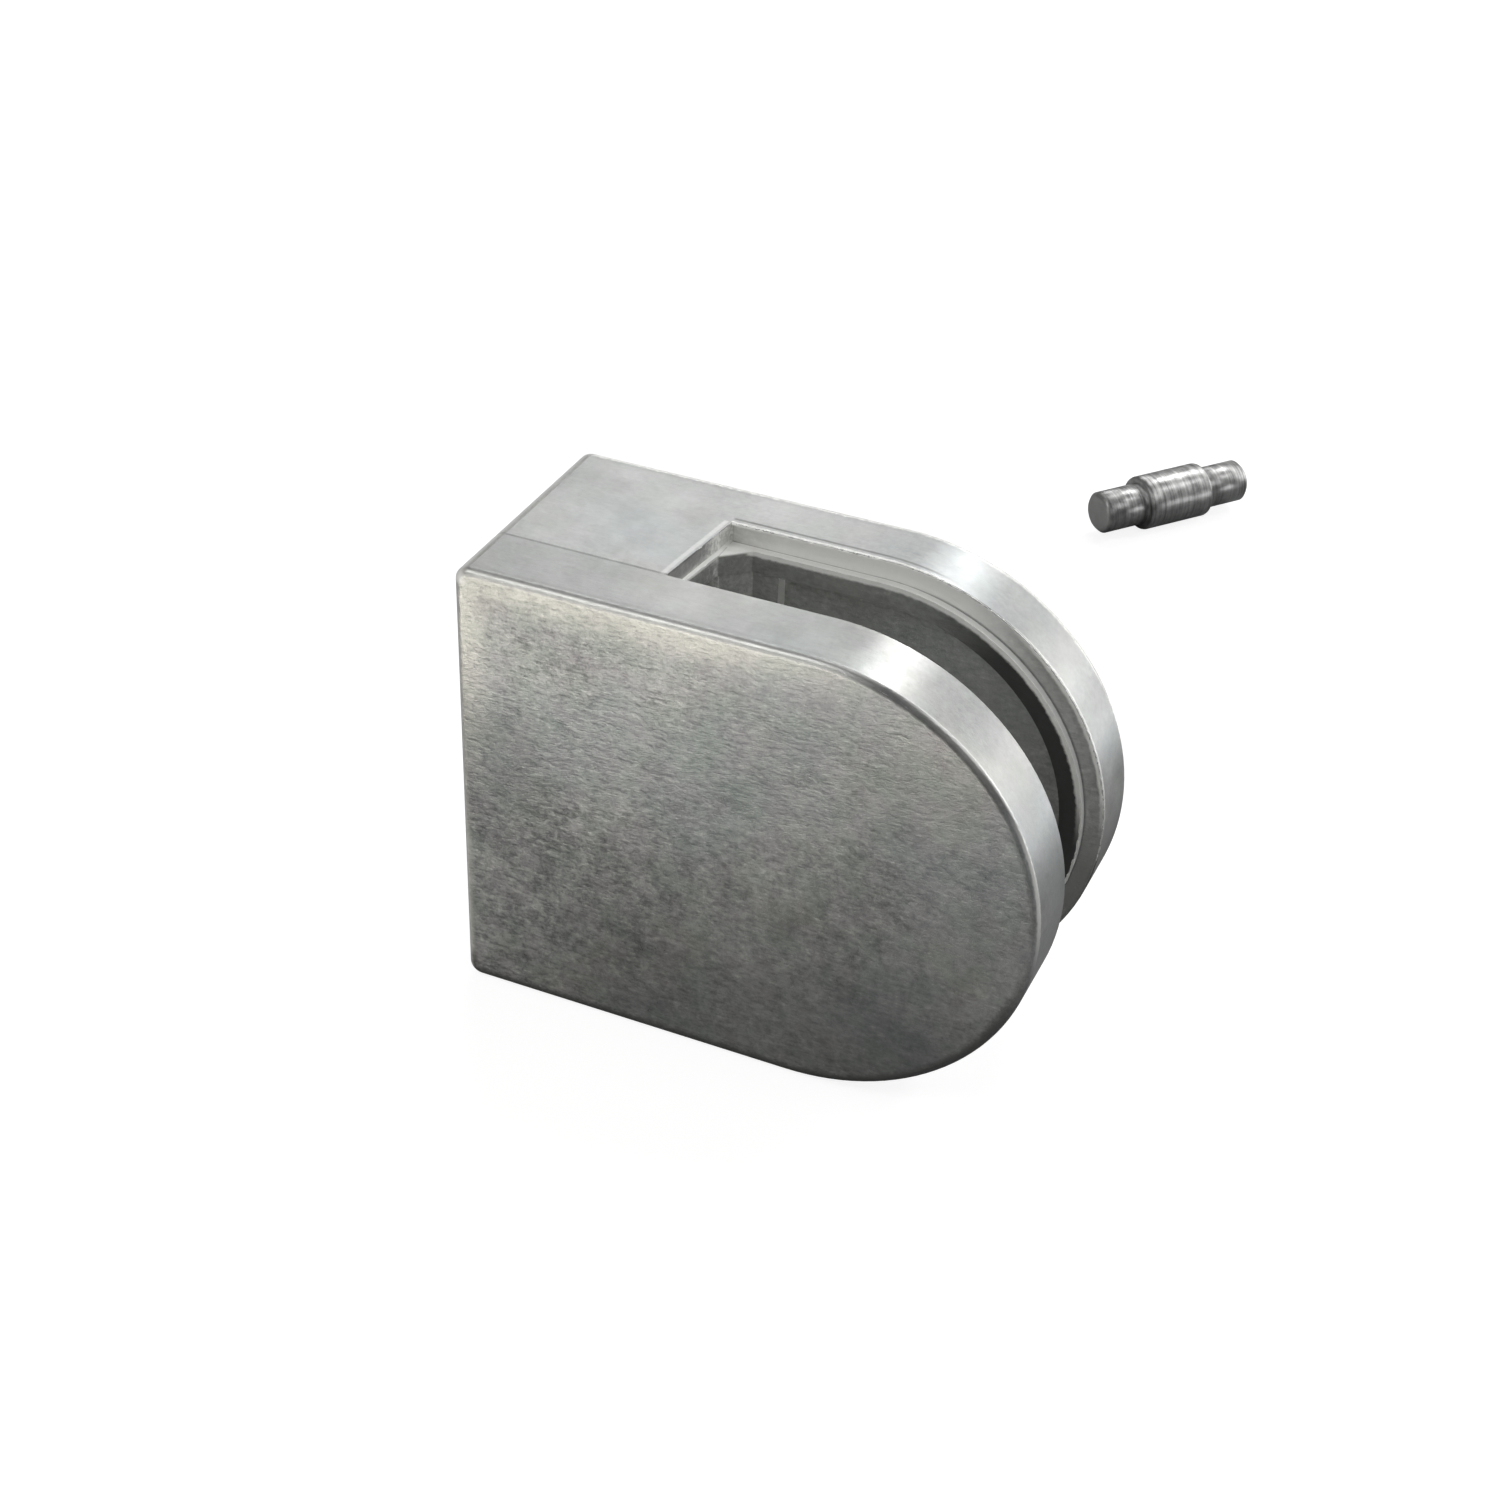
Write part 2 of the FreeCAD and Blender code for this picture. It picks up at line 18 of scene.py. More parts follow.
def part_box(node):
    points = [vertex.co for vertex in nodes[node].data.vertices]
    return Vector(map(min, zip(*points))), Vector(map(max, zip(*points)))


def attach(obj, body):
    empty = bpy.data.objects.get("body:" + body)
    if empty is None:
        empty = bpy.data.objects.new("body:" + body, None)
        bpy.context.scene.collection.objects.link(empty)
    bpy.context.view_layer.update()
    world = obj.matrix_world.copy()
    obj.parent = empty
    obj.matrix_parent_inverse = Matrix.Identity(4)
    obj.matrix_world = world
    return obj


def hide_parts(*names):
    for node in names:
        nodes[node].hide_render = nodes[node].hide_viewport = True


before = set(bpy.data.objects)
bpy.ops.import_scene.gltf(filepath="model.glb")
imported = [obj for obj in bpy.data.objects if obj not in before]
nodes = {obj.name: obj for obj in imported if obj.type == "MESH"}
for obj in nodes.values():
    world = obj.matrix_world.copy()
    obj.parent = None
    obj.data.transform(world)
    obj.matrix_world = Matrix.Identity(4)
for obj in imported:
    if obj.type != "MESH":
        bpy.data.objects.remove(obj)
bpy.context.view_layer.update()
print("solids:", sorted(nodes))

# %% [markdown]
# Sizes
#
# Blender counts in metres and the maker in millimetres, so every size below is written in
# millimetres and turned into metres by one factor. The places come from the solids' boxes where
# a box can give them, so the dressing follows the CAD model.

# %% Sizes in the maker's units
MM = 0.001
jaw_low, jaw_high = (np.array(corner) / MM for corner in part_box("base_jaw"))
cover_low, _ = (np.array(corner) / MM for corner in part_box("front_jaw"))
OUTER_R = jaw_high[2]
ARC_X = jaw_high[0] - OUTER_R
FRONT_Y = cover_low[1]
SEAM_Y = jaw_low[1]
REAR_Y = jaw_high[1]
FLOOR_Z = jaw_low[2]
RIM_Y = 4.1  # face of the rim inside the rear jaw
RIB_Y = 3.3  # front of the raised rib, which follows the outline inside the rim
RIM_WIDTH = 1.64  # from the outline to the rib
SLOT_X_FRONT = 15.3  # end wall of the slot, at the seam
SLOT_X_REAR = 16.3  # and at the rim, because it leans back
GUSSET_X = 18.6  # where the rib leaves the corner gusset
PAD_X = 20.8  # side of the pad at the root of the slot
print(f"outline radius {OUTER_R:.2f} mm about x = {ARC_X:.2f} mm,",
      f"faces at y = {FRONT_Y:.2f} and {REAR_Y:.2f} mm")

# %% [markdown]
# Node tools
#
# A material is a small machine of nodes. Three helpers keep the machines short: one adds a node,
# one wires two sockets or sets a plain value, and one does a single sum. A new group gets its
# sockets from its interface, which is where Blender 4.5 keeps them.


# %% Helpers for node trees
def add(tree, kind, **settings):
    """A node of that kind with its settings."""
    node = tree.nodes.new(kind)
    for name, value in settings.items():
        setattr(node, name, value)
    return node


def feed(tree, target, source):
    """Wires source into target, or sets target where source is a plain value."""
    if isinstance(source, bpy.types.NodeSocket):
        tree.links.new(source, target)
    else:
        target.default_value = source


def calc(tree, operation, *values, clamp=False):
    """The result of one Math node on up to three values."""
    node = add(tree, "ShaderNodeMath", operation=operation, use_clamp=clamp)
    for socket, value in zip(node.inputs, values):
        feed(tree, socket, value)
    return node.outputs[0]


def ramp(tree, value, low, high, to_low=0.0, to_high=1.0):
    """value between low and high, carried smoothly to between to_low and to_high."""
    node = add(tree, "ShaderNodeMapRange", interpolation_type="SMOOTHSTEP")
    for socket, source in zip(node.inputs, (value, low, high, to_low, to_high)):
        feed(tree, socket, source)
    return node.outputs[0]


def noise(tree, vector, scale, detail=3.0, roughness=0.55):
    """Cloudy noise from 0 to 1 with about scale blobs to the metre."""
    node = add(tree, "ShaderNodeTexNoise")
    feed(tree, node.inputs["Vector"], vector)
    for name, value in (("Scale", scale), ("Detail", detail), ("Roughness", roughness)):
        feed(tree, node.inputs[name], value)
    return node.outputs["Fac"]


def stretched(tree, vector, factors):
    """The coordinates with each axis scaled, which draws a pattern out along the smallest one."""
    node = add(tree, "ShaderNodeMapping")
    feed(tree, node.inputs["Vector"], vector)
    node.inputs["Scale"].default_value = factors
    return node.outputs["Vector"]


def blend_colour(tree, factor, first, second):
    """A colour that goes from first to second as factor goes from 0 to 1."""
    node = add(tree, "ShaderNodeMix", data_type="RGBA")
    feed(tree, node.inputs[0], factor)
    feed(tree, node.inputs[6], first)
    feed(tree, node.inputs[7], second)
    return node.outputs[2]


def new_group(name, inputs, outputs):
    """An empty node group with named sockets: inputs are (kind, name, value) and outputs (kind, name)."""
    tree = bpy.data.node_groups.new(name, "ShaderNodeTree")
    for kind, label, value in inputs:
        socket = tree.interface.new_socket(label, in_out="INPUT", socket_type="NodeSocket" + kind)
        if value is not None:
            socket.default_value = value
    for kind, label in outputs:
        tree.interface.new_socket(label, in_out="OUTPUT", socket_type="NodeSocket" + kind)
    start = add(tree, "NodeGroupInput")
    end = add(tree, "NodeGroupOutput")
    return tree, start.outputs, end.inputs


def use_group(tree, group, **values):
    """The outputs of a placed group; underscores in the names stand for spaces."""
    node = add(tree, "ShaderNodeGroup", node_tree=group)
    for name, value in values.items():
        feed(tree, node.inputs[name.replace("_", " ")], value)
    return node.outputs


print("node helpers ready")

# %% [markdown]
# How far from the edge
#
# Edges of a raw casting look lighter than its faces, because burrs and rubbing lay the metal
# bare there; here the light lines along the edges are also partly painted highlight. One way is to
# paint a mask by hand. The clamp's outline has a formula instead: the distance inside a shape with
# a straight part and a half circle is the radius less the length of (how far x is past the arc's
# centre, z), or x itself near the flat back. The group gives that distance, the depth along Y, the
# length along X and the rise along Z in millimetres, and the turn round the arc in degrees: 90
# along the top, 0 at the far end and -90 underneath.


# %% Group: distance from the outline
edge_group, given, result = new_group(
    "outline distance",
    [("Vector", "Vector", None), ("Float", "Arc X", ARC_X), ("Float", "Radius", OUTER_R)],
    [("Float", "Inset"), ("Float", "Depth"), ("Float", "Length"), ("Float", "Rise"), ("Float", "Turn")],
)
split = add(edge_group, "ShaderNodeSeparateXYZ")
feed(edge_group, split.inputs[0], given["Vector"])
x_mm, y_mm, z_mm = (calc(edge_group, "MULTIPLY", socket, 1 / MM) for socket in split.outputs)
past = calc(edge_group, "MAXIMUM", calc(edge_group, "SUBTRACT", x_mm, given["Arc X"]), 0.0)
reach = calc(edge_group, "SQRT", calc(edge_group, "ADD", calc(edge_group, "MULTIPLY", past, past),
                                      calc(edge_group, "MULTIPLY", z_mm, z_mm)))
inset = calc(edge_group, "SUBTRACT", given["Radius"], reach)
feed(edge_group, result["Inset"], calc(edge_group, "MINIMUM", inset, x_mm))
feed(edge_group, result["Depth"], y_mm)
feed(edge_group, result["Length"], x_mm)
feed(edge_group, result["Rise"], z_mm)
feed(edge_group, result["Turn"], calc(edge_group, "DEGREES", calc(edge_group, "ARCTAN2", z_mm, past)))
print("group:", edge_group.name)

# %% [markdown]
# A soft band round one edge
#
# With the two distances, an edge is a point in a small plane, and a light line along the edge is
# everything within a short reach of that point. Noise breaks the line up, as real rubbing does.


# %% Group: a broken light line along an edge
line_group, given, result = new_group(
    "edge line",
    [("Vector", "Vector", None), ("Float", "Inset", 0.0), ("Float", "Depth", 0.0), ("Float", "At Inset", 0.0),
     ("Float", "At Depth", 0.0), ("Float", "Width", 0.3), ("Float", "Breaks", 1800.0)],
    [("Float", "Mask")],
)
across = calc(line_group, "SUBTRACT", given["Inset"], given["At Inset"])
along_y = calc(line_group, "SUBTRACT", given["Depth"], given["At Depth"])
away = calc(line_group, "SQRT", calc(line_group, "ADD", calc(line_group, "MULTIPLY", across, across),
                                     calc(line_group, "MULTIPLY", along_y, along_y)))
ragged = noise(line_group, given["Vector"], given["Breaks"], 4.0, 0.6)
near = calc(line_group, "DIVIDE", away, calc(line_group, "MULTIPLY", given["Width"],
                                             calc(line_group, "ADD", ragged, 0.5)))
feed(line_group, result["Mask"], ramp(line_group, near, 0.35, 1.0, 1.0, 0.0))
print("group:", line_group.name)

# %% [markdown]
# Cast skin
#
# Zinc that comes out of a steel die is grey and never even. The two outer faces were rubbed flat
# on a belt: they have a coarse grain with short dashes along X, and its sparkle is painted
# highlight in the colour. The walls between them were only brushed clean, so there the same
# patterns are faint. One input, Face, goes from 0 on the walls to 1 on the outer faces and carries
# the grain with it.


# %% Group: cast skin
skin_group, given, result = new_group(
    "cast skin",
    [("Vector", "Vector", None), ("Float", "Face", 1.0)],
    [("Float", "Tone"), ("Float", "Cold"), ("Float", "Warm"), ("Float", "Green"), ("Float", "Violet"),
     ("Float", "Height"), ("Float", "Gloss"), ("Float", "Painted Glints")],
)
# Each noise: blobs to the metre, octaves of detail, roughness.
CLOUDS = (95.0, 3.0, 0.55)
PATCHES = (480.0, 3.0, 0.6)
GRAIN = (1700.0, 4.0, 0.75)
DASHES = (2900.0, 3.0, 0.7)
COLD_SPOTS = (62.0, 2.0, 0.5)
WARM_SPOTS = (105.0, 2.0, 0.5)
TINTED_SPOTS = (330.0, 3.0, 0.6)
DASH_STRETCH = (0.28, 1.0, 1.0)
FAR_AWAY = (0.31, 0.17, 0.23)
DASH_WEIGHT = 0.8
vector = given["Vector"]
strength = calc(skin_group, "ADD", calc(skin_group, "MULTIPLY", given["Face"], 0.75), 0.25)


def centred(vector, scale, detail, roughness):
    """Noise in the skin group less its middle value."""
    return calc(skin_group, "SUBTRACT", noise(skin_group, vector, scale, detail, roughness), 0.5)


clouds = centred(vector, *CLOUDS)
patches = centred(vector, *PATCHES)
grain = centred(vector, *GRAIN)
dashes = centred(stretched(skin_group, vector, DASH_STRETCH), *DASHES)
total = 0.5
for part, amount in ((clouds, 0.45), (patches, 0.35)):
    total = calc(skin_group, "ADD", calc(skin_group, "MULTIPLY", part, amount), total)
for part, amount in ((grain, 1.3), (dashes, 1.0)):
    part = calc(skin_group, "MULTIPLY", calc(skin_group, "MULTIPLY", part, amount), strength)
    total = calc(skin_group, "ADD", part, total)
feed(skin_group, result["Tone"], total)
far = add(skin_group, "ShaderNodeVectorMath", operation="ADD")
feed(skin_group, far.inputs[0], vector)
far.inputs[1].default_value = FAR_AWAY
cold = noise(skin_group, vector, *COLD_SPOTS)
warm = noise(skin_group, far.outputs[0], *WARM_SPOTS)
tint = noise(skin_group, far.outputs[0], *TINTED_SPOTS)
for label, source, low, high in (("Cold", cold, 0.48, 0.66), ("Warm", warm, 0.50, 0.70),
                                 ("Green", tint, 0.50, 0.62), ("Violet", tint, 0.50, 0.38)):
    feed(skin_group, result[label], ramp(skin_group, source, low, high))
weak_dashes = calc(skin_group, "MULTIPLY", dashes, DASH_WEIGHT)
rough = calc(skin_group, "ADD", grain, weak_dashes)
feed(skin_group, result["Height"], calc(skin_group, "MULTIPLY", rough, strength))
gloss = calc(skin_group, "ADD", calc(skin_group, "MULTIPLY", grain, strength), patches)
feed(skin_group, result["Gloss"], gloss)
# The glints are painted highlight: light specks in the colour where the grain rises.
sparks = ramp(skin_group, rough, 0.17, 0.30)
feed(skin_group, result["Painted Glints"], calc(skin_group, "MULTIPLY", sparks, given["Face"]))
print("group:", skin_group.name)

# %% [markdown]
# Tools for materials
#
# A material starts with one shader. Masks are multiplied where all of them have to hold and the
# largest is taken where one is enough, which keeps every mask between 0 and 1.


# %% Helpers for materials and masks
def new_material(name):
    """An empty node material with its shader, and the shader's inputs."""
    material = bpy.data.materials.new(name)
    material.use_nodes = True
    tree = material.node_tree
    tree.nodes.clear()
    shader = add(tree, "ShaderNodeBsdfPrincipled")
    end = add(tree, "ShaderNodeOutputMaterial")
    tree.links.new(shader.outputs[0], end.inputs["Surface"])
    return material, tree, shader.inputs


def bump(tree, height, strength, distance):
    """A Bump node's normal for a height pattern, with its depth in metres."""
    node = add(tree, "ShaderNodeBump")
    node.inputs["Strength"].default_value = strength
    node.inputs["Distance"].default_value = distance
    feed(tree, node.inputs["Height"], height)
    return node.outputs[0]


def product(tree, *values):
    """Several values multiplied."""
    result = values[0]
    for value in values[1:]:
        result = calc(tree, "MULTIPLY", result, value)
    return result


def largest(tree, *values):
    """The largest of several values."""
    result = values[0]
    for value in values[1:]:
        result = calc(tree, "MAXIMUM", result, value)
    return result


def mask_tools(tree):
    """ramp, product and largest for one tree, under the short names fade, times and most."""
    return partial(ramp, tree), partial(product, tree), partial(largest, tree)


DARK_ZINC = (0.145, 0.15, 0.148, 1)
LIGHT_ZINC = (0.50, 0.505, 0.495, 1)
COLD_ZINC = (0.26, 0.30, 0.315, 1)
WARM_ZINC = (0.375, 0.36, 0.325, 1)
GREEN_ZINC = (0.29, 0.345, 0.30, 1)
VIOLET_ZINC = (0.355, 0.32, 0.355, 1)
# The rubbed colour serves worn metal, painted highlight and painted glints.
RUBBED_AND_LIT_ZINC = (0.66, 0.65, 0.60, 1)
# Pale metal, for bare edges and for painted highlight and painted light.
PALE_ZINC = (0.95, 0.95, 0.92, 1)
# The colour of painted shade.
SHADE_ZINC = (0.08, 0.083, 0.08, 1)
print("material helpers ready")

# %% [markdown]
# Where a point lies on a casting
#
# Every mask of the zinc is made from the place of a point. fade(value, low, high) goes from 0 at
# low to 1 at high, also where low is the larger one, and two more numbers give other ends. Places
# are in millimetres and turns in degrees. The masks that several layers need are made here once.


# %% Helper: places and shared masks
def casting_places(tree, outer_face, inwards):
    """The places of a point and the masks that several layers share.

    outer_face is the depth of the casting's rubbed face, inwards the way from there into the metal.
    """
    fade, times, _ = mask_tools(tree)
    at = SimpleNamespace(outer_face=outer_face, inwards=inwards)
    at.place = add(tree, "ShaderNodeTexCoord").outputs["Object"]
    edge = use_group(tree, edge_group, Vector=at.place)
    for label in ("Inset", "Depth", "Length", "Rise", "Turn"):
        setattr(at, label.lower(), edge[label])
    below = calc(tree, "MULTIPLY", calc(tree, "SUBTRACT", at.depth, outer_face), inwards)
    at.face = fade(below, 0.05, 0.35, 1.0, 0.0)
    at.off_face = calc(tree, "SUBTRACT", 1.0, at.face)
    at.on_top = fade(at.turn, 70.0, 84.0)
    at.downwards = fade(at.rise, -4.0, 15.0)
    at.end = fade(at.length, SLOT_X_REAR + 0.3, SLOT_X_REAR + 0.1)
    at.off_end = fade(at.end, 1.0, 0.0)
    at.before_rear = fade(at.depth, RIM_Y + 1.9, RIM_Y + 1.7)
    at.past_wall = fade(at.length, SLOT_X_FRONT - 0.2, SLOT_X_FRONT)
    at.inside = times(fade(at.inset, 0.03, 0.12), fade(at.depth, SEAM_Y + 0.02, SEAM_Y + 0.12),
                      at.before_rear, at.past_wall)
    return at


print("places ready")

# %% [markdown]
# Skin and broad shades
#
# The skin's grain is strongest at the flat back's end and inside the slot. A light band runs under
# the top edge, partly rubbed metal and partly painted highlight, and a rubbed band runs along the
# back. Painted shade darkens the lower half and the rim underneath, a patch at the left and the
# cover's top are darker, and a painted highlight lights the corner at the back of the top.


# %% Layers: the skin and the broad shades
def skin_layer(tree, at):
    """The skin group's outputs, and the colour of the skin with its faint patches."""
    fade, times, most = mask_tools(tree)
    rough_part = most(times(at.face, fade(at.length, 32.0, 4.0, 0.5, 1.0)), times(at.inside, 0.9))
    skin = use_group(tree, skin_group, Vector=at.place, Face=rough_part)
    colour = blend_colour(tree, fade(skin["Tone"], 0.05, 0.95), DARK_ZINC, LIGHT_ZINC)
    tints = fade(at.face, 0.0, 1.0, 0.12, 0.24)
    for label, amount, tint in (
        ("Cold", 0.30, COLD_ZINC), ("Warm", 0.25, WARM_ZINC), ("Green", tints, GREEN_ZINC),
        ("Violet", tints, VIOLET_ZINC), ("Painted Glints", 0.50, RUBBED_AND_LIT_ZINC),
    ):
        colour = blend_colour(tree, times(skin[label], amount), colour, tint)
    return skin, colour


def broad_shades(tree, at, tone, low_shade, top_shade):
    """Masks of rubbing with painted highlight, of painted shade and darker parts, and of the painted highlight
    on the back corner of the top.
    """
    fade, times, most = mask_tools(tree)
    # Light band under the top edge: partly rubbed metal, partly painted highlight, lighter towards the top.
    top_band = times(at.face, at.on_top, fade(at.inset, 4.0, 0.6), fade(at.length, 40.0, 20.0),
                     at.downwards, fade(tone, 0.15, 0.80, 0.36, 0.84))
    back_band = times(at.face, fade(at.length, 1.0, 0.35), 0.5)
    # Painted shade: the face is darker towards the bottom and towards the right.
    lower_half = times(at.face, fade(at.rise, 2.0, -17.0), fade(at.length, 2.0, 16.0),
                       fade(at.length, 26.0, 44.0, 0.38, 0.50))
    left_shade = times(at.face, fade(at.length, 11.0, 4.0), fade(at.rise, 12.0, 5.0),
                       fade(at.rise, -7.0, 1.0), 0.28)
    # Painted shade under the rim, round the lower arc.
    under = times(fade(at.turn, 8.0, -15.0), fade(at.inset, 2.1, 1.8),
                  fade(at.length, 14.0, 28.0), at.off_face, low_shade)
    top = times(at.off_face, fade(at.rise, 18.8, 19.8), top_shade)
    # Painted highlight on the corner at the back of the top.
    lit_back_corner = times(fade(at.length, 1.3, 0.5), fade(at.rise, 18.3, 19.0))
    return most(top_band, back_band), most(lower_half, left_shade, under, top), lit_back_corner


print("layers ready: skin and broad shades")

# %% [markdown]
# Inside the slot
#
# The step in the slot is pale: the wall along the top, the ledge all round, the inner end of the
# end wall and the side of the pad. It is partly scraped metal and partly painted light, which fades
# round the arc and near the end wall. The rib's front has painted shade.


# %% Layer: the inside of the slot
def slot_masks(tree, at, tone, bright_inside):
    """Masks of the step, pale as scraped metal and with painted light, of the casting's inner side and of the
    painted shade on the rib's front.
    """
    fade, times, most = mask_tools(tree)
    # Painted light on the wall: full along the top, weaker round the arc and near the end wall.
    wall = times(fade(at.depth, RIM_Y + 0.1, RIM_Y), fade(at.inset, RIM_WIDTH + 0.05, RIM_WIDTH - 0.05),
                 fade(at.turn, 40.0, 72.0, 0.22, 1.0), at.off_end,
                 fade(at.length, SLOT_X_REAR, SLOT_X_REAR + 5.0, 0.5, 1.0))
    ledge = times(fade(at.depth, RIM_Y, RIM_Y - 0.12),
                  fade(at.inset, RIM_WIDTH + 0.25, RIM_WIDTH + 0.05), at.off_end)
    end_light = times(at.end, fade(at.depth, -1.5, 2.4), fade(tone, 0.35, 0.60, 0.6, 1.0))
    end_rib = times(at.end, fade(at.inset, 1.45, 1.6), fade(at.inset, 2.0, 1.8))
    pad_side = times(fade(at.length, PAD_X - 0.1, PAD_X - 0.01), fade(at.length, PAD_X + 0.1, PAD_X + 0.01),
                     fade(at.depth, RIB_Y + 0.3, RIB_Y + 0.35),
                     fade(at.inset, RIM_WIDTH + 0.1, RIM_WIDTH + 0.2))
    # The step is painted pale: partly scraped metal, partly painted light where little light reaches into the
    # slot.
    scraped_lit_step = times(at.inside, most(wall, ledge, end_light, end_rib, pad_side))
    # Painted shade on the rib's front, strongest round the arc.
    rib_front = times(fade(at.depth, RIB_Y + 0.12, RIB_Y + 0.04),
                      fade(at.inset, RIM_WIDTH + 0.02, RIM_WIDTH + 0.2),
                      fade(at.inset, RIM_WIDTH + 2.2, RIM_WIDTH + 1.9), at.off_end,
                      fade(at.turn, 84.0, 50.0, 0.3, 1.0))
    inner_side = times(fade(at.depth, SEAM_Y - 1.9, SEAM_Y - 1.6), fade(at.inset, 0.05, 0.3),
                       at.before_rear, at.past_wall, bright_inside)
    return scraped_lit_step, inner_side, times(at.inside, rib_front)


print("layer ready: inside of the slot")

# %% [markdown]
# Lines along the edges
#
# Each line is a place in the plane of inset and depth, a width, and a mask of where it shows.
# Bright lines are bare metal on the edges that were rubbed or scraped, partly brightened with
# painted highlight, and dark ones of painted shade lie beside them and along the seam. The lip of
# the end wall runs askew, so its place is the length less what the wall leans.


# %% Layer: edge lines
def edge_lines(tree, at, lines):
    """The largest of several edge lines."""
    masks = []
    for at_inset, across, at_across, width, shown in lines:
        line = use_group(tree, line_group, Vector=at.place, Inset=at.inset, Depth=across,
                         At_Inset=at_inset, At_Depth=at_across, Width=width)
        masks.append(product(tree, line["Mask"], shown))
    return largest(tree, *masks)


def edge_masks(tree, at):
    """Masks of the bright lines of the outer face, of those of the slot, and of the dark lines of painted
    shade.
    """
    fade, times, most = mask_tools(tree)
    depth, turn = at.depth, at.turn

    def beneath(distance):
        """The depth that lies so far below the outer face."""
        return at.outer_face + distance * at.inwards

    on_edge = times(at.on_top, fade(at.length, 0.7, 1.6, 0.25, 1.0), at.downwards)
    at_back = fade(at.length, 0.9, 0.5)
    low_edge = times(fade(turn, 2.0, -30.0), most(fade(at.length, 1.0, 3.0), fade(at.rise, -17.0, -18.8)))
    past_end = fade(at.length, SLOT_X_REAR - 0.1, SLOT_X_REAR + 0.1)
    along_slot = times(past_end, fade(turn, -6.0, 14.0))
    lean = (SLOT_X_REAR - SLOT_X_FRONT) / (RIM_Y - SEAM_Y)
    past_seam = calc(tree, "SUBTRACT", depth, SEAM_Y)
    leant = calc(tree, "SUBTRACT", at.length, calc(tree, "MULTIPLY", past_seam, lean))
    lip = times(fade(depth, SEAM_Y, SEAM_Y + 0.1), fade(depth, RIM_Y + 0.2, RIM_Y))

    # Bright lines of the outer face: bare metal along the edges, partly painted highlight on the top edge's
    # rounding and round the arc.
    face_lines = edge_lines(tree, at, (
        (0.22, depth, beneath(0.14), 0.62, times(on_edge, 0.50)),
        (0.05, depth, beneath(0.15), 0.60, times(at_back, 0.50)),
        (0.0, depth, beneath(0.55), 0.26, times(fade(turn, 70.0, 58.0), fade(turn, 22.0, 36.0), 0.35)),
        (0.08, depth, beneath(0.38), 0.30, times(fade(turn, 36.0, 22.0), fade(turn, -14.0, 12.0))),
    ))
    # Bright lines of the slot and the rear top edge: bare rims and burrs, brightened with painted highlight.
    slot_lines = edge_lines(tree, at, (
        (0.0, depth, RIM_Y, 0.34, times(past_end, at.on_top)),
        (0.08, depth, RIM_Y, 0.42, times(fade(turn, 62.0, 46.0), along_slot)),
        (RIM_WIDTH + 0.12, depth, RIB_Y, 0.46, along_slot),
        (0.0, leant, SLOT_X_FRONT - 0.42, 0.30, times(lip, 0.25)),
        (0.15, depth, REAR_Y - 0.15, 0.75, fade(turn, 20.0, 50.0)),
    ))
    # Dark lines of painted shade: under the top edge, round the arc, along the lower edges, beside the slot's
    # rim, along the seam and in the ledge's corner.
    painted_shade_lines = edge_lines(tree, at, (
        (0.0, depth, beneath(0.95), 0.22, times(on_edge, 0.12)),
        (0.14, depth, beneath(0.14), 0.55, times(fade(turn, 84.0, 72.0), fade(turn, 18.0, 40.0), 0.6)),
        (0.48, depth, at.outer_face, 0.34, times(fade(turn, 40.0, 22.0), fade(turn, -8.0, 8.0), 0.4)),
        (0.30, depth, beneath(0.20), 0.95, low_edge),
        (0.0, depth, RIM_Y + 0.70, 0.18, times(at.on_top, past_end, 0.6)),
        (0.0, depth, SEAM_Y, 0.22, times(at.on_top, 0.06)),
        (RIM_WIDTH, depth, RIM_Y, 0.20, times(past_end, fade(turn, 84.0, 66.0), 0.4)),
    ))
    return face_lines, slot_lines, painted_shade_lines


print("layer ready: edge lines")

# %% [markdown]
# Zinc, as cast
#
# One material serves both castings. It starts with the skin and lays the broad shades, the inside
# of the slot and the edge lines over it, each as a colour blended in by its mask: worn and bare
# metal, painted highlight and painted shade. Where the step, the slot's bright lines and the back
# corner are painted pale, it is also less of a mirror.


# %% Materials
STEP_PALE = 0.92
DARK_LINES = 0.92
BRIGHT_LINES = 0.95
ZINC_ROUGHNESS = 0.38
ZINC_BUMP = (0.6, 0.00008)


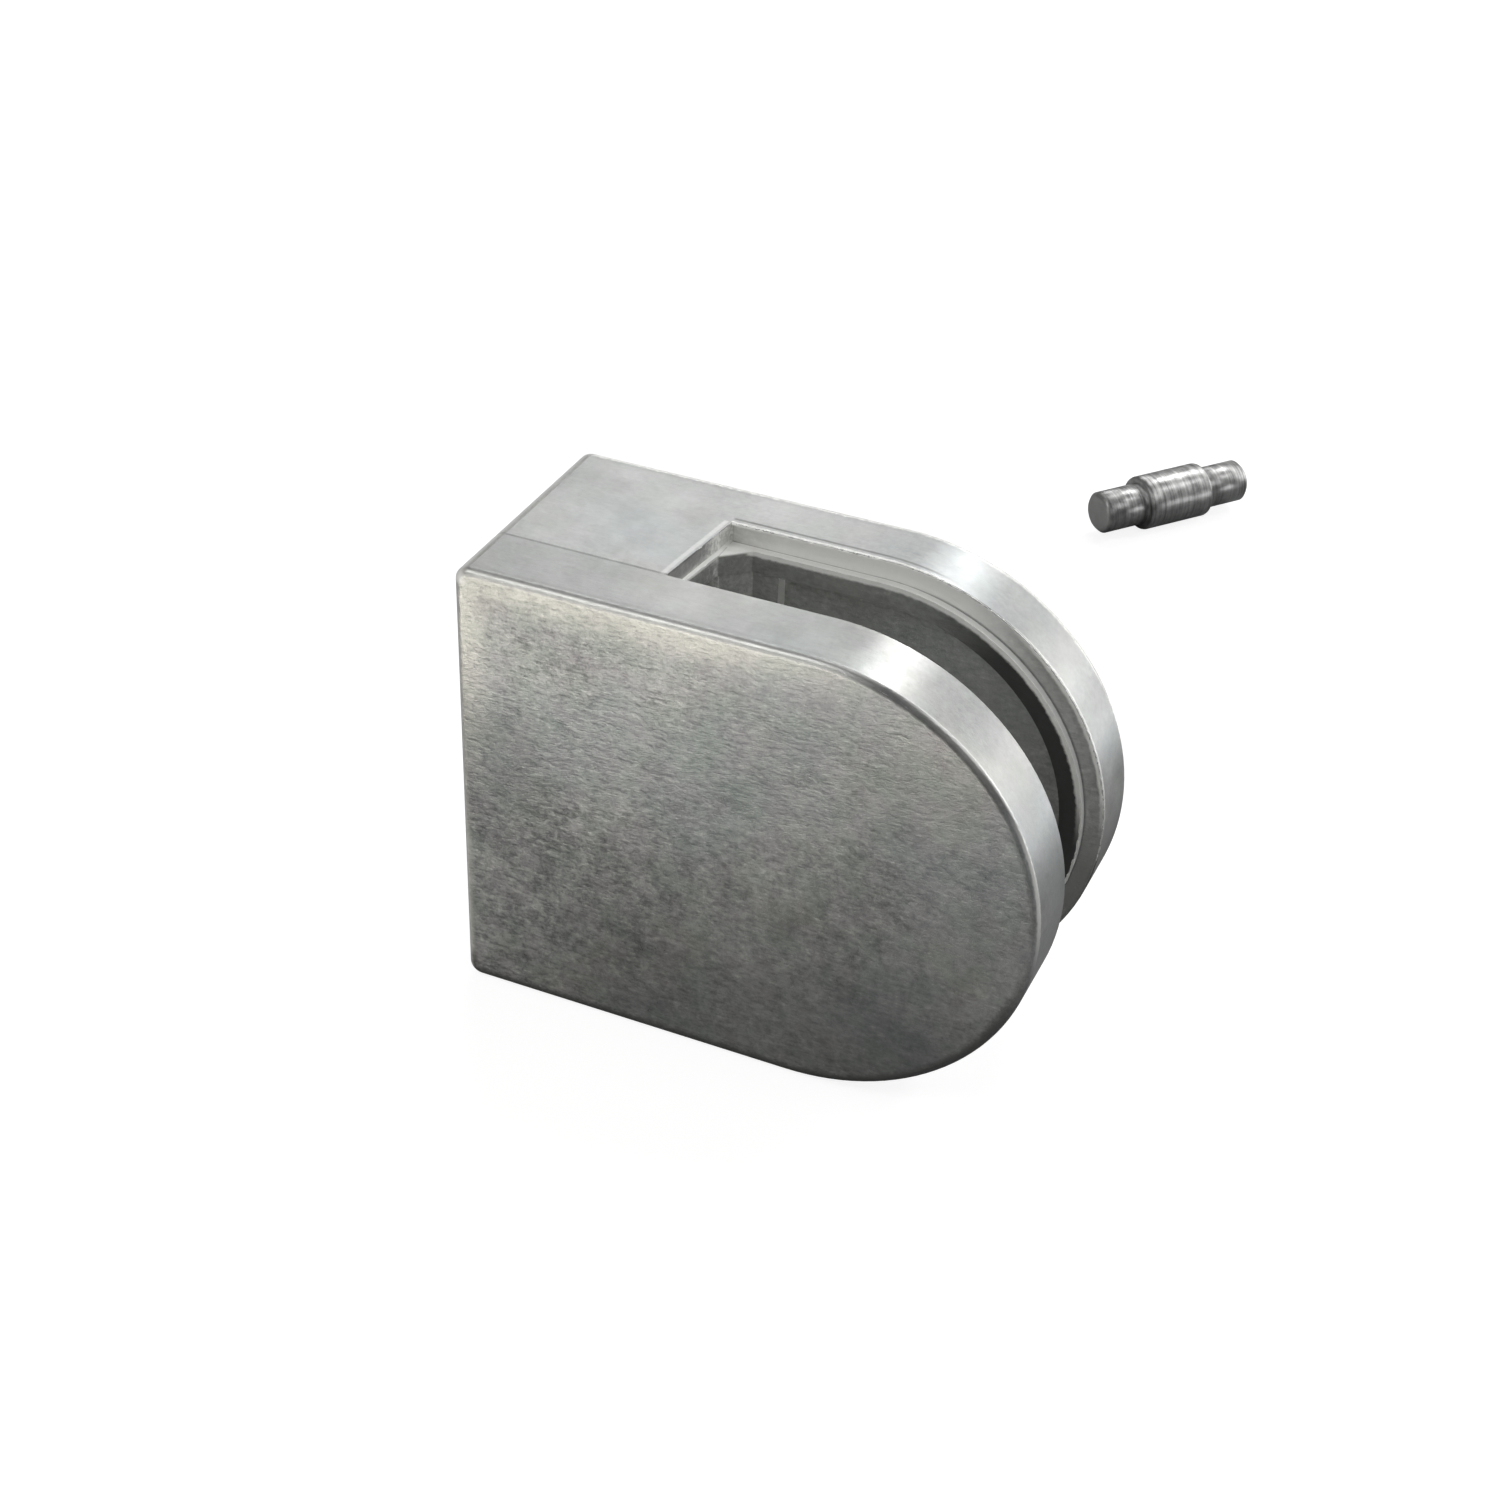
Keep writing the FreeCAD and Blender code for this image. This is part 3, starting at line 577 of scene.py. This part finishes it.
def zinc_material(name, outer_face, inwards, bright_inside, low_shade, top_shade):
    """Raw zinc for one casting.

    outer_face is the depth of its rubbed face, inwards the way from there into the metal,
    bright_inside how far its inner side is the bare colour of fresh metal, low_shade how far
    its rim darkens underneath and top_shade how far its top does.
    """
    material, tree, shader = new_material(name)
    fade, times, most = mask_tools(tree)
    at = casting_places(tree, outer_face, inwards)
    skin, colour = skin_layer(tree, at)
    rubbed_and_lit, painted_shade, lit_back_corner = broad_shades(tree, at, skin["Tone"], low_shade, top_shade)
    scraped_lit_step, inner_side, shaded_rib_front = slot_masks(tree, at, skin["Tone"], bright_inside)
    face_lines, slot_lines, painted_shade_lines = edge_masks(tree, at)
    # Over the skin in turn: rubbing and painted highlight, painted shade, the back corner's painted highlight,
    # the pale step and inner side, the rib's painted shade, the shade lines and the bright lines.
    for mask, tint in (
        (rubbed_and_lit, RUBBED_AND_LIT_ZINC), (painted_shade, SHADE_ZINC), (lit_back_corner, PALE_ZINC),
        (most(times(scraped_lit_step, STEP_PALE), inner_side), PALE_ZINC), (shaded_rib_front, SHADE_ZINC),
        (times(painted_shade_lines, DARK_LINES), SHADE_ZINC),
        (times(most(face_lines, slot_lines), BRIGHT_LINES), PALE_ZINC),
    ):
        colour = blend_colour(tree, mask, colour, tint)
    feed(tree, shader["Base Color"], colour)
    feed(tree, shader["Metallic"], fade(most(scraped_lit_step, slot_lines, lit_back_corner), 0.0, 1.0, 0.6, 0.1))
    even = calc(tree, "ADD", times(at.face, -0.03), ZINC_ROUGHNESS)
    rough = calc(tree, "ADD", times(skin["Gloss"], 0.25), even)
    feed(tree, shader["Roughness"], calc(tree, "ADD", rough, times(painted_shade_lines, 0.15)))
    feed(tree, shader["Normal"], bump(tree, skin["Height"], *ZINC_BUMP))
    return material


cover_zinc = zinc_material("zinc of the cover", FRONT_Y, 1.0,
                           bright_inside=0.9, low_shade=0.35, top_shade=0.14)
jaw_zinc = zinc_material("zinc of the rear jaw", REAR_Y, -1.0,
                         bright_inside=0.25, low_shade=0.85, top_shade=0.0)


# Each noise: blobs to the metre, octaves of detail, roughness.
FINE_GRAIN = (2500.0, 3.0, 0.65)
STEEL_SPOTS = (900.0, 4.0, 0.65)
RING_STRETCH = (1.0, 0.03, 0.03)


def plain_metal(name, dark, light, roughness, metallic=1.0,
                pitch=0.0, turn=0.0, centre=(0, 0, 0), half_length=0.0):
    """Steel with a fine grain or, where pitch is given, tool rings about an axis turned from X by turn.

    With half_length, in millimetres, the ends beyond it are pale, the lower side is darkened as
    painted shade so the upper side is paler, and the upper side is less of a mirror.
    """
    material, tree, shader = new_material(name)
    fade, times, most = mask_tools(tree)
    place = add(tree, "ShaderNodeTexCoord").outputs["Object"]
    turned = add(tree, "ShaderNodeMapping", vector_type="TEXTURE")
    feed(tree, turned.inputs["Vector"], place)
    turned.inputs["Location"].default_value = centre
    turned.inputs["Rotation"].default_value = (0, 0, turn)
    local = turned.outputs["Vector"]
    scale, detail, grain_roughness = FINE_GRAIN
    rings = stretched(tree, local, RING_STRETCH) if pitch else local
    lines = noise(tree, rings, 1 / pitch if pitch else scale, detail, grain_roughness)
    spots = noise(tree, place, *STEEL_SPOTS)
    tone = calc(tree, "ADD", times(lines, 0.7), times(spots, 0.5))
    colour = blend_colour(tree, fade(tone, 0.35, 0.85), dark, light)
    if half_length:
        apart = add(tree, "ShaderNodeSeparateXYZ")
        feed(tree, apart.inputs[0], local)
        along = calc(tree, "ABSOLUTE", apart.outputs["X"])
        ends = fade(along, (half_length - 0.30) * MM, (half_length - 0.02) * MM)
        upper = fade(apart.outputs["Z"], 0.6 * MM, 2.0 * MM)
        # Painted shade: the lower side of the pin is darker.
        lower = calc(tree, "SUBTRACT", 1.0, upper)
        colour = blend_colour(tree, times(lower, 0.55), colour, dark)
        colour = blend_colour(tree, times(ends, 0.5), colour, light)
        less = times(most(upper, ends), 0.4)
        feed(tree, shader["Metallic"], calc(tree, "SUBTRACT", metallic, less, clamp=True))
    else:
        shader["Metallic"].default_value = metallic
    feed(tree, shader["Base Color"], colour)
    feed(tree, shader["Roughness"], calc(tree, "ADD", times(spots, 0.2), roughness - 0.1))
    feed(tree, shader["Normal"], bump(tree, lines, 0.2 if pitch else 0.4, 0.00004))
    return material


pin_low, pin_high = (np.array(corner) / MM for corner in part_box("safety_pin"))
PIN_TURN = math.radians(51.6)
PIN_CENTRE = (pin_low + pin_high) / 2
PIN_LENGTH = 18.9
PIN_HALF = PIN_LENGTH / 2
PIN_RINGS = 0.0003  # metres from one tool mark to the next
pin_steel = plain_metal("turned steel of the pin", (0.13, 0.13, 0.13, 1), (0.62, 0.62, 0.61, 1), 0.36, 0.95,
                        PIN_RINGS, PIN_TURN, tuple(PIN_CENTRE * MM), PIN_HALF)
screw_steel = plain_metal("steel of the screws", (0.30, 0.30, 0.29, 1), (0.55, 0.55, 0.53, 1), 0.35)
bare_edge = plain_metal("bare burr", (0.72, 0.72, 0.70, 1), (0.97, 0.97, 0.95, 1), 0.28, 0.5)
# The rib's burr is paler and less of a mirror than the others: bare metal with painted highlight.
pale_edge = plain_metal("bare and lit burr in the slot", (0.90, 0.90, 0.87, 1), (1.0, 1.0, 0.97, 1), 0.35, 0.05)
for node, material in (("front_jaw", cover_zinc), ("base_jaw", jaw_zinc)):
    nodes[node].data.materials.clear()
    nodes[node].data.materials.append(material)
print("materials:", [m.name for m in (cover_zinc, jaw_zinc, pin_steel, screw_steel, bare_edge, pale_edge)])

# %% [markdown]
# Surfaces from formulas
#
# Every new piece is a grid of points worked out by numpy: one direction of the grid goes along
# the piece and the other round it. The helper turns such a grid into a mesh, closes it where the
# second direction comes back to its start, and can cap its two ends with one face each.


# %% Helper: a mesh from a grid of points
def surface(name, points, material, wrap=False, caps=False):
    """A mesh over points[u, v] = (x, y, z) in millimetres, with quads between neighbours.

    wrap closes it along v, and caps puts one face over its first row and one over its last.
    """
    count_u, count_v = points.shape[:2]
    index = np.arange(count_u * count_v).reshape(count_u, count_v)
    here_u, next_u = index[:-1], index[1:]
    if wrap:
        right_here, right_next = np.roll(here_u, -1, axis=1), np.roll(next_u, -1, axis=1)
    else:
        right_here, right_next = here_u[:, 1:], next_u[:, 1:]
        here_u, next_u = here_u[:, :-1], next_u[:, :-1]
    quads = np.stack([here_u, right_here, right_next, next_u], axis=-1).reshape(-1, 4)
    faces = quads.tolist()
    if caps:
        faces += [index[0][::-1].tolist(), index[-1].tolist()]
    mesh = bpy.data.meshes.new(name)
    mesh.from_pydata((points.reshape(-1, 3) * MM).tolist(), [], faces)
    mesh.polygons.foreach_set("use_smooth", np.ones(len(mesh.polygons), bool))
    mesh.materials.append(material)
    mesh.validate()
    mesh.update()
    piece = bpy.data.objects.new(name, mesh)
    bpy.context.scene.collection.objects.link(piece)
    print(f"{name}: {len(faces)} faces")
    return piece


print("mesh helper ready")

# %% [markdown]
# Ragged burrs
#
# Where the two halves of a die meet, or a face has been rubbed flat, zinc is left as a thin
# ragged lip that catches the light. Each burr is a low ridge carried along an edge: its height
# and width come from sums of sines with many periods, so it never looks ruled.


# %% Helper: a burr along an edge
WAVES = 28
WAVE_PERIODS = (0.3, 2.6)
BURR_SECTION = 9  # points across a ridge
BURR_SUNK = 0.02  # how far a ridge's foot lies inside the metal
BURR_FADE = 0.8  # how far from its ends a burr thins out
PATH_POINTS = 900  # about so many round the whole outline


def wobble(distance, seed):
    """A sum of sines of the distance along the edge, from about -1 to 1, the same each run."""
    draw = np.random.default_rng(seed)
    periods = draw.uniform(*WAVE_PERIODS, WAVES)
    phases = draw.uniform(0, 2 * np.pi, WAVES)
    weights = periods ** 0.3
    waves = np.sin(2 * np.pi * distance[:, None] / periods + phases) * weights
    return waves.sum(axis=1) / np.sqrt((weights ** 2).sum() * 0.5) * 0.55


def burr(name, path, first, second, material, width, height, seed):
    """A ridge over path[i]; first and second point from the edge along its two faces.

    Across the ridge t goes from -1 to 1: the point moves along first for t below 0 and along
    second above it, and rises by height * (1 - t * t) against both. No point leaves the clamp's
    box. Either direction may be one vector for the whole path.
    """
    first, second = np.broadcast_to(first, path.shape), np.broadcast_to(second, path.shape)
    steps = np.linalg.norm(np.diff(path, axis=0), axis=1)
    distance = np.concatenate([[0.0], np.cumsum(steps)])
    across = np.linspace(-1, 1, BURR_SECTION)
    wide = width * (1 + 0.45 * wobble(distance, seed))[:, None, None]
    tall = height * np.clip(0.75 + 0.75 * wobble(distance, seed + 1), 0.05, None)[:, None, None]
    to_end = np.minimum(distance, distance[-1] - distance)
    thin = np.clip(to_end / BURR_FADE, 0.02, 1)[:, None, None]
    side = np.where(across[None, :, None] < 0, first[:, None, :], second[:, None, :])
    out = first + second
    out = -out / np.linalg.norm(out, axis=1, keepdims=True)
    spread = side * wide * np.abs(across)[None, :, None]
    lift = out[:, None, :] * (tall * (1 - across ** 2)[None, :, None] - BURR_SUNK) * thin
    points = np.clip(path[:, None, :] + spread + lift, cover_low, jaw_high)
    return surface(name, points, material)


def outline_path(depth, start_x, inset, last_angle=-90.0):
    """Points along the outline from start_x on the top edge and round the arc to last_angle.

    At -90 degrees the path goes back along the bottom to start_x. The function also gives the
    unit vectors that point inwards. The path's arc has radius R - inset.
    """
    radius = OUTER_R - inset
    top = np.linspace(start_x, ARC_X, PATH_POINTS // 4, endpoint=False)
    angle = np.radians(np.linspace(90.0, last_angle, PATH_POINTS // 2))
    x = np.concatenate([top, ARC_X + radius * np.cos(angle)])
    z = np.concatenate([np.full(top.size, radius), radius * np.sin(angle)])
    out_x = np.concatenate([np.zeros(top.size), np.cos(angle)])
    out_z = np.concatenate([np.ones(top.size), np.sin(angle)])
    if last_angle <= -90.0:
        back = np.linspace(ARC_X, start_x, PATH_POINTS // 4 + 1)[1:]
        x = np.concatenate([x, back])
        z = np.concatenate([z, np.full(back.size, -radius)])
        out_x = np.concatenate([out_x, np.zeros(back.size)])
        out_z = np.concatenate([out_z, -np.ones(back.size)])
    path = np.stack([x, np.full(x.size, depth), z], axis=1)
    out = np.stack([out_x, np.zeros(x.size), out_z], axis=1)
    return path, -out


print("burr helpers ready")

# %% The burrs of the rear casting and of the cover
# Each burr: its width, its height and the seed of its waves.
RIM_BURR = (0.16, 0.10, 11)
RIB_BURR = (0.17, 0.10, 23)
END_WALL_BURR = (0.10, 0.03, 51)
END_RIB_BURR = (0.10, 0.04, 61)
FRONT_BURR = (0.10, 0.03, 37)
RIM_BURR_END = -8.0  # degrees round the arc
FRONT_BURR_END = 62.0
towards_rear, back_along_x, down = np.array([[0.0, 1.0, 0.0], [-1.0, 0.0, 0.0], [0.0, 0.0, -1.0]])

path, inwards = outline_path(RIM_Y + 0.05, SLOT_X_REAR + 0.4, 0.05, RIM_BURR_END)
rim_burr = burr("burr_slot_rim", path, inwards, towards_rear, bare_edge, *RIM_BURR)
path, inwards = outline_path(RIB_Y, GUSSET_X, RIM_WIDTH)
rib_burr = burr("burr_rib", path, inwards, towards_rear, pale_edge, *RIB_BURR)
for piece in (rim_burr, rib_burr):
    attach(piece, "base")

WALL_STEPS = 240
WALL_SUNK = 0.04
along_wall = np.linspace(0.0, 1.0, WALL_STEPS)[:, None]
wall_top = [np.array([SLOT_X_FRONT, SEAM_Y + 0.15, OUTER_R]), np.array([SLOT_X_REAR, RIM_Y, OUTER_R])]
rib_top = [np.array([SLOT_X_FRONT + 0.2, SEAM_Y + 0.15, OUTER_R - RIM_WIDTH]),
           np.array([GUSSET_X - 2.2, RIB_Y - 2.0, OUTER_R - RIM_WIDTH])]
for name, (start, stop), sizes in (
    ("burr_end_wall", wall_top, END_WALL_BURR), ("burr_end_rib", rib_top, END_RIB_BURR),
):
    path = start + (stop - start) * along_wall
    path[:, 2] -= WALL_SUNK
    piece = burr(name, path, back_along_x, down, bare_edge, *sizes)
    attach(piece, "base")

path, inwards = outline_path(FRONT_Y + 0.10, 1.2, 0.28, FRONT_BURR_END)
front_burr = burr("burr_front_edge", path, inwards, towards_rear, bare_edge, *FRONT_BURR)
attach(front_burr, "cover")

# %% [markdown]
# Clamp screws
#
# Two countersunk screws pull the cover on to the rear casting. A screw is a turned shape whose
# radius also depends on the angle: in the socket it is a hexagon's, and in the thread it rises
# and falls with the distance along the axis less one pitch per turn.

# %% The two clamp screws
PITCH = 1.0
THREAD_DEPTH = 0.55
SCREW_LENGTH = 19.8
HEAD_R = 5.65
SHANK_R = 2.98
HEX_HALF = 2.0
HEX_DEPTH = 2.6
DRILL_POINT = 0.35
HEAD_LAND = 0.3
TIP_BEVEL = 0.7
SCREW_ANGLES = 96
THREAD_ROWS = 420


def screw_surface(name, node):
    """radius(s, a) about the node's axis, for s along the profile and a round it.

    The profile goes from the floor of the socket up its walls, over the head's ring, down the
    cone and along the shank; the thread's depth is a triangle wave of s / pitch - a / (2 pi).
    """
    low, high = (np.array(corner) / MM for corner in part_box(node))
    centre_x, centre_z, top = (low[0] + high[0]) / 2, (low[2] + high[2]) / 2, high[1]
    angle = np.linspace(0, 2 * np.pi, SCREW_ANGLES, endpoint=False)
    sixth = np.mod(angle, np.pi / 3) - np.pi / 6
    hexagon = HEX_HALF / np.cos(sixth)
    cone_end = HEAD_LAND + HEAD_R - SHANK_R
    shank = np.linspace(cone_end + 0.2, SCREW_LENGTH - TIP_BEVEL, THREAD_ROWS)
    phase = np.mod(shank[:, None] / PITCH - angle[None, :] / (2 * np.pi), 1.0)
    run_in = np.clip((shank - cone_end - 0.6) / 0.8, 0, 1)[:, None]
    threads = SHANK_R - THREAD_DEPTH * (1 - np.abs(2 * phase - 1)) * run_in
    whole = np.ones(angle.size)
    rows = [
        (0.02 * whole, HEX_DEPTH + DRILL_POINT), (hexagon * 0.98, HEX_DEPTH), (hexagon, HEX_DEPTH - 0.05),
        (hexagon, 0.25), (hexagon * 1.04, 0.05), (hexagon * 1.10, 0.0),
        ((HEAD_R - 0.15) * whole, 0.0), (HEAD_R * whole, 0.10), (HEAD_R * whole, HEAD_LAND),
        (SHANK_R * whole, cone_end), (SHANK_R * whole, cone_end + 0.15),
    ]
    radius = np.concatenate([np.array([row[0] for row in rows]), threads,
                             [(SHANK_R - TIP_BEVEL) * whole, 0.02 * whole]])
    depth = np.concatenate([[row[1] for row in rows], shank, [SCREW_LENGTH, SCREW_LENGTH]])
    points = np.stack([
        centre_x + radius * np.cos(angle), np.broadcast_to(top - depth[:, None], radius.shape),
        centre_z + radius * np.sin(angle),
    ], axis=-1)
    piece = surface(name, points, screw_steel, wrap=True, caps=True)
    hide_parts(node)
    return piece


for side in ("upper", "lower"):
    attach(screw_surface(f"clamp_screw_{side}_threaded", f"clamp_screw_{side}"), f"{side}_screw")

# %% [markdown]
# Safety pin
#
# The pin is turned from bar: a thick middle between two thinner ends, with small bevels at each
# shoulder. It is a profile spun about its axis, with a shallow groove left by the tool at the
# foot of each shoulder, and ends that are rounded at their rims.

# %% The safety pin
PIN_R = (pin_high[2] - pin_low[2]) / 2
PIN_END_R = 2.3
PIN_MIDDLE = 8.1 / 2
GROOVE_R = PIN_END_R - 0.08
PIN_ANGLES = 128


def pin_surface():
    """Radius by place along the axis: half a profile, mirrored about the middle and spun about the axis."""
    half_profile = [
        (PIN_MIDDLE * 0.5, PIN_R), (PIN_MIDDLE - 0.30, PIN_R), (PIN_MIDDLE - 0.12, PIN_R - 0.06),
        (PIN_MIDDLE - 0.02, PIN_R - 0.22), (PIN_MIDDLE, PIN_R - 0.30), (PIN_MIDDLE + 0.01, PIN_END_R + 0.02),
        (PIN_MIDDLE + 0.12, GROOVE_R), (PIN_MIDDLE + 0.45, GROOVE_R), (PIN_MIDDLE + 0.60, PIN_END_R),
        (PIN_HALF - 0.42, PIN_END_R), (PIN_HALF - 0.20, PIN_END_R - 0.20), (PIN_HALF - 0.05, PIN_END_R - 0.36),
        (PIN_HALF, PIN_END_R - 0.52), (PIN_HALF, 0.02),
    ]
    profile = np.array([(-s, r) for s, r in reversed(half_profile)] + [(0.0, PIN_R)] + half_profile)
    angle = np.linspace(0, 2 * np.pi, PIN_ANGLES, endpoint=False)
    along = np.broadcast_to(profile[:, :1], (len(profile), angle.size))
    side = profile[:, 1:] * np.cos(angle)
    rise = profile[:, 1:] * np.sin(angle)
    axis_x, axis_y = math.cos(PIN_TURN), math.sin(PIN_TURN)
    points = np.stack([
        PIN_CENTRE[0] + along * axis_x - side * axis_y,
        PIN_CENTRE[1] + along * axis_y + side * axis_x,
        PIN_CENTRE[2] + rise,
    ], axis=-1)
    return surface("safety_pin_turned", points[:, ::-1], pin_steel, wrap=True, caps=True)


pin = pin_surface()
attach(pin, "base")
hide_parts("safety_pin")

# %% [markdown]
# Table and light
#
# The clamp lies on a white table. The floor's own colour is a light grey, and for the camera it
# glows, so it reads as white while the object's shadow still shows. Soft lamps stand in for
# studio boxes and cards: the ones behind and at the right are mirrored by the top faces and the
# round end, the ones in front light the flat face, and two low strips catch the lower edges.


# %% Floor, world and lamps
FLOOR_SIDE = 6000.0
FLOOR_GREY = (0.33, 0.33, 0.33, 1)
FLOOR_GLOW = 0.85
ROOM_COLOUR = (0.98, 0.99, 1.0, 1)
ROOM_STRENGTH = 0.03
WHITE = (1.0, 1.0, 1.0)
WARM_WHITE = (1.0, 0.97, 0.90)
corners = np.array([[[-1, -1, 0], [-1, 1, 0]], [[1, -1, 0], [1, 1, 0]]], float) * FLOOR_SIDE / 2
corners[..., 2] = FLOOR_Z
floor_material, tree, shader = new_material("white table")
shader["Base Color"].default_value = FLOOR_GREY
shader["Roughness"].default_value = 0.9
shader["Specular IOR Level"].default_value = 0.0
path_kind = add(tree, "ShaderNodeLightPath")
shader["Emission Color"].default_value = (1, 1, 1, 1)
feed(tree, shader["Emission Strength"], calc(tree, "MULTIPLY", path_kind.outputs["Is Camera Ray"], FLOOR_GLOW))
floor = surface("floor", corners[::-1], floor_material)

world = bpy.data.worlds.new("soft room")
bpy.context.scene.world = world
world.use_nodes = True
tree = world.node_tree
tree.nodes.clear()
room = add(tree, "ShaderNodeBackground")
white = add(tree, "ShaderNodeBackground")
choose = add(tree, "ShaderNodeMixShader")
end = add(tree, "ShaderNodeOutputWorld")
room.inputs["Color"].default_value = ROOM_COLOUR
room.inputs["Strength"].default_value = ROOM_STRENGTH
white.inputs["Strength"].default_value = 1.0
seen = add(tree, "ShaderNodeLightPath").outputs["Is Camera Ray"]
tree.links.new(seen, choose.inputs[0])
tree.links.new(room.outputs[0], choose.inputs[1])
tree.links.new(white.outputs[0], choose.inputs[2])
tree.links.new(choose.outputs[0], end.inputs["Surface"])


def soft_lamp(name, place, aim, size, watts, colour=WHITE, height=None):
    """A square lamp, or a strip where height is given, at place and turned to aim, in millimetres."""
    data = bpy.data.lights.new(name, "AREA")
    data.size = size * MM
    if height:
        data.shape = "RECTANGLE"
        data.size_y = height * MM
    data.energy = watts
    data.color = colour
    lamp = bpy.data.objects.new(name, data)
    lamp.location = Vector(place) * MM
    lamp.visible_camera = False
    lamp.rotation_euler = (Vector(aim) - Vector(place)).to_track_quat("-Z", "Y").to_euler()
    bpy.context.scene.collection.objects.link(lamp)


# Each lamp: name, place, aim, size and watts, and for the cards and strips colour and height.
LAMPS = (
    ("lamp behind", (85, 560, 480), (25, 0, 0), 170, 1.5),
    ("lamp behind, left", (-300, 700, 500), (20, 0, 0), 300, 1.15),
    ("lamp behind, high", (0, 260, 520), (25, 0, 5), 200, 0.39),
    ("lamp behind, middle right", (250, 540, 280), (40, 0, 5), 220, 0.38),
    ("lamp behind, low right", (400, 470, 110), (45, 5, 5), 250, 0.87),
    ("lamp right, high", (376, 241, 451), (30, 93, -17), 90, 0.45),
    ("lamp right", (260, -10, 220), (30, 0, 10), 120, 0.17),
    ("fill, front right", (250, -250, 160), (35, 0, 5), 140, 0.11),
    ("lamp front, high", (-75, -150, 215), (20, 0, 10), 150, 0.19),
    ("card, front left", (-130, -380, 60), (10, -12, 15), 260, 0.14, WHITE, 160),
    ("strip on the table, front", (0, -72, -14), (20, -12, 14), 90, 0.0170, WARM_WHITE, 14),
    ("strip on the table, right", (115, 88, -14), (48, 5, 5), 60, 0.0128, WHITE, 12),
)
for row in LAMPS:
    soft_lamp(*row)

# %% [markdown]
# Camera
#
# The photograph was matched by the clamp's own straight edges and its half circle, which fix the
# lens and the place of the camera. The camera's three axes are its right, its up and its back.

# %% Camera and picture settings
AZIMUTH, ELEVATION, ROLL = math.radians(23.02), math.radians(34.00), math.radians(1.96)
CAMERA_PLACE = (90.04, -164.00, 121.98)
LENS = 62.91
SENSOR = 36.0
CLIP_START = 0.005
back = Vector((math.sin(AZIMUTH) * math.cos(ELEVATION),
               -math.cos(AZIMUTH) * math.cos(ELEVATION), math.sin(ELEVATION)))
right = Vector((math.cos(AZIMUTH), math.sin(AZIMUTH), 0))
up = back.cross(right)
right, up = (right * math.cos(ROLL) + up * math.sin(ROLL), up * math.cos(ROLL) - right * math.sin(ROLL))
camera_data = bpy.data.cameras.new("camera")
camera_data.lens = LENS
camera_data.sensor_width = SENSOR
camera_data.clip_start = CLIP_START
camera = bpy.data.objects.new("camera", camera_data)
turned = Matrix((right, up, back)).transposed().to_4x4()
camera.matrix_world = Matrix.Translation(Vector(CAMERA_PLACE) * MM) @ turned
bpy.context.scene.collection.objects.link(camera)
bpy.context.scene.camera = camera
bpy.context.scene.view_settings.view_transform = "Standard"
print("camera rows:", [tuple(round(v, 5) for v in row) for row in (right, up, back)])
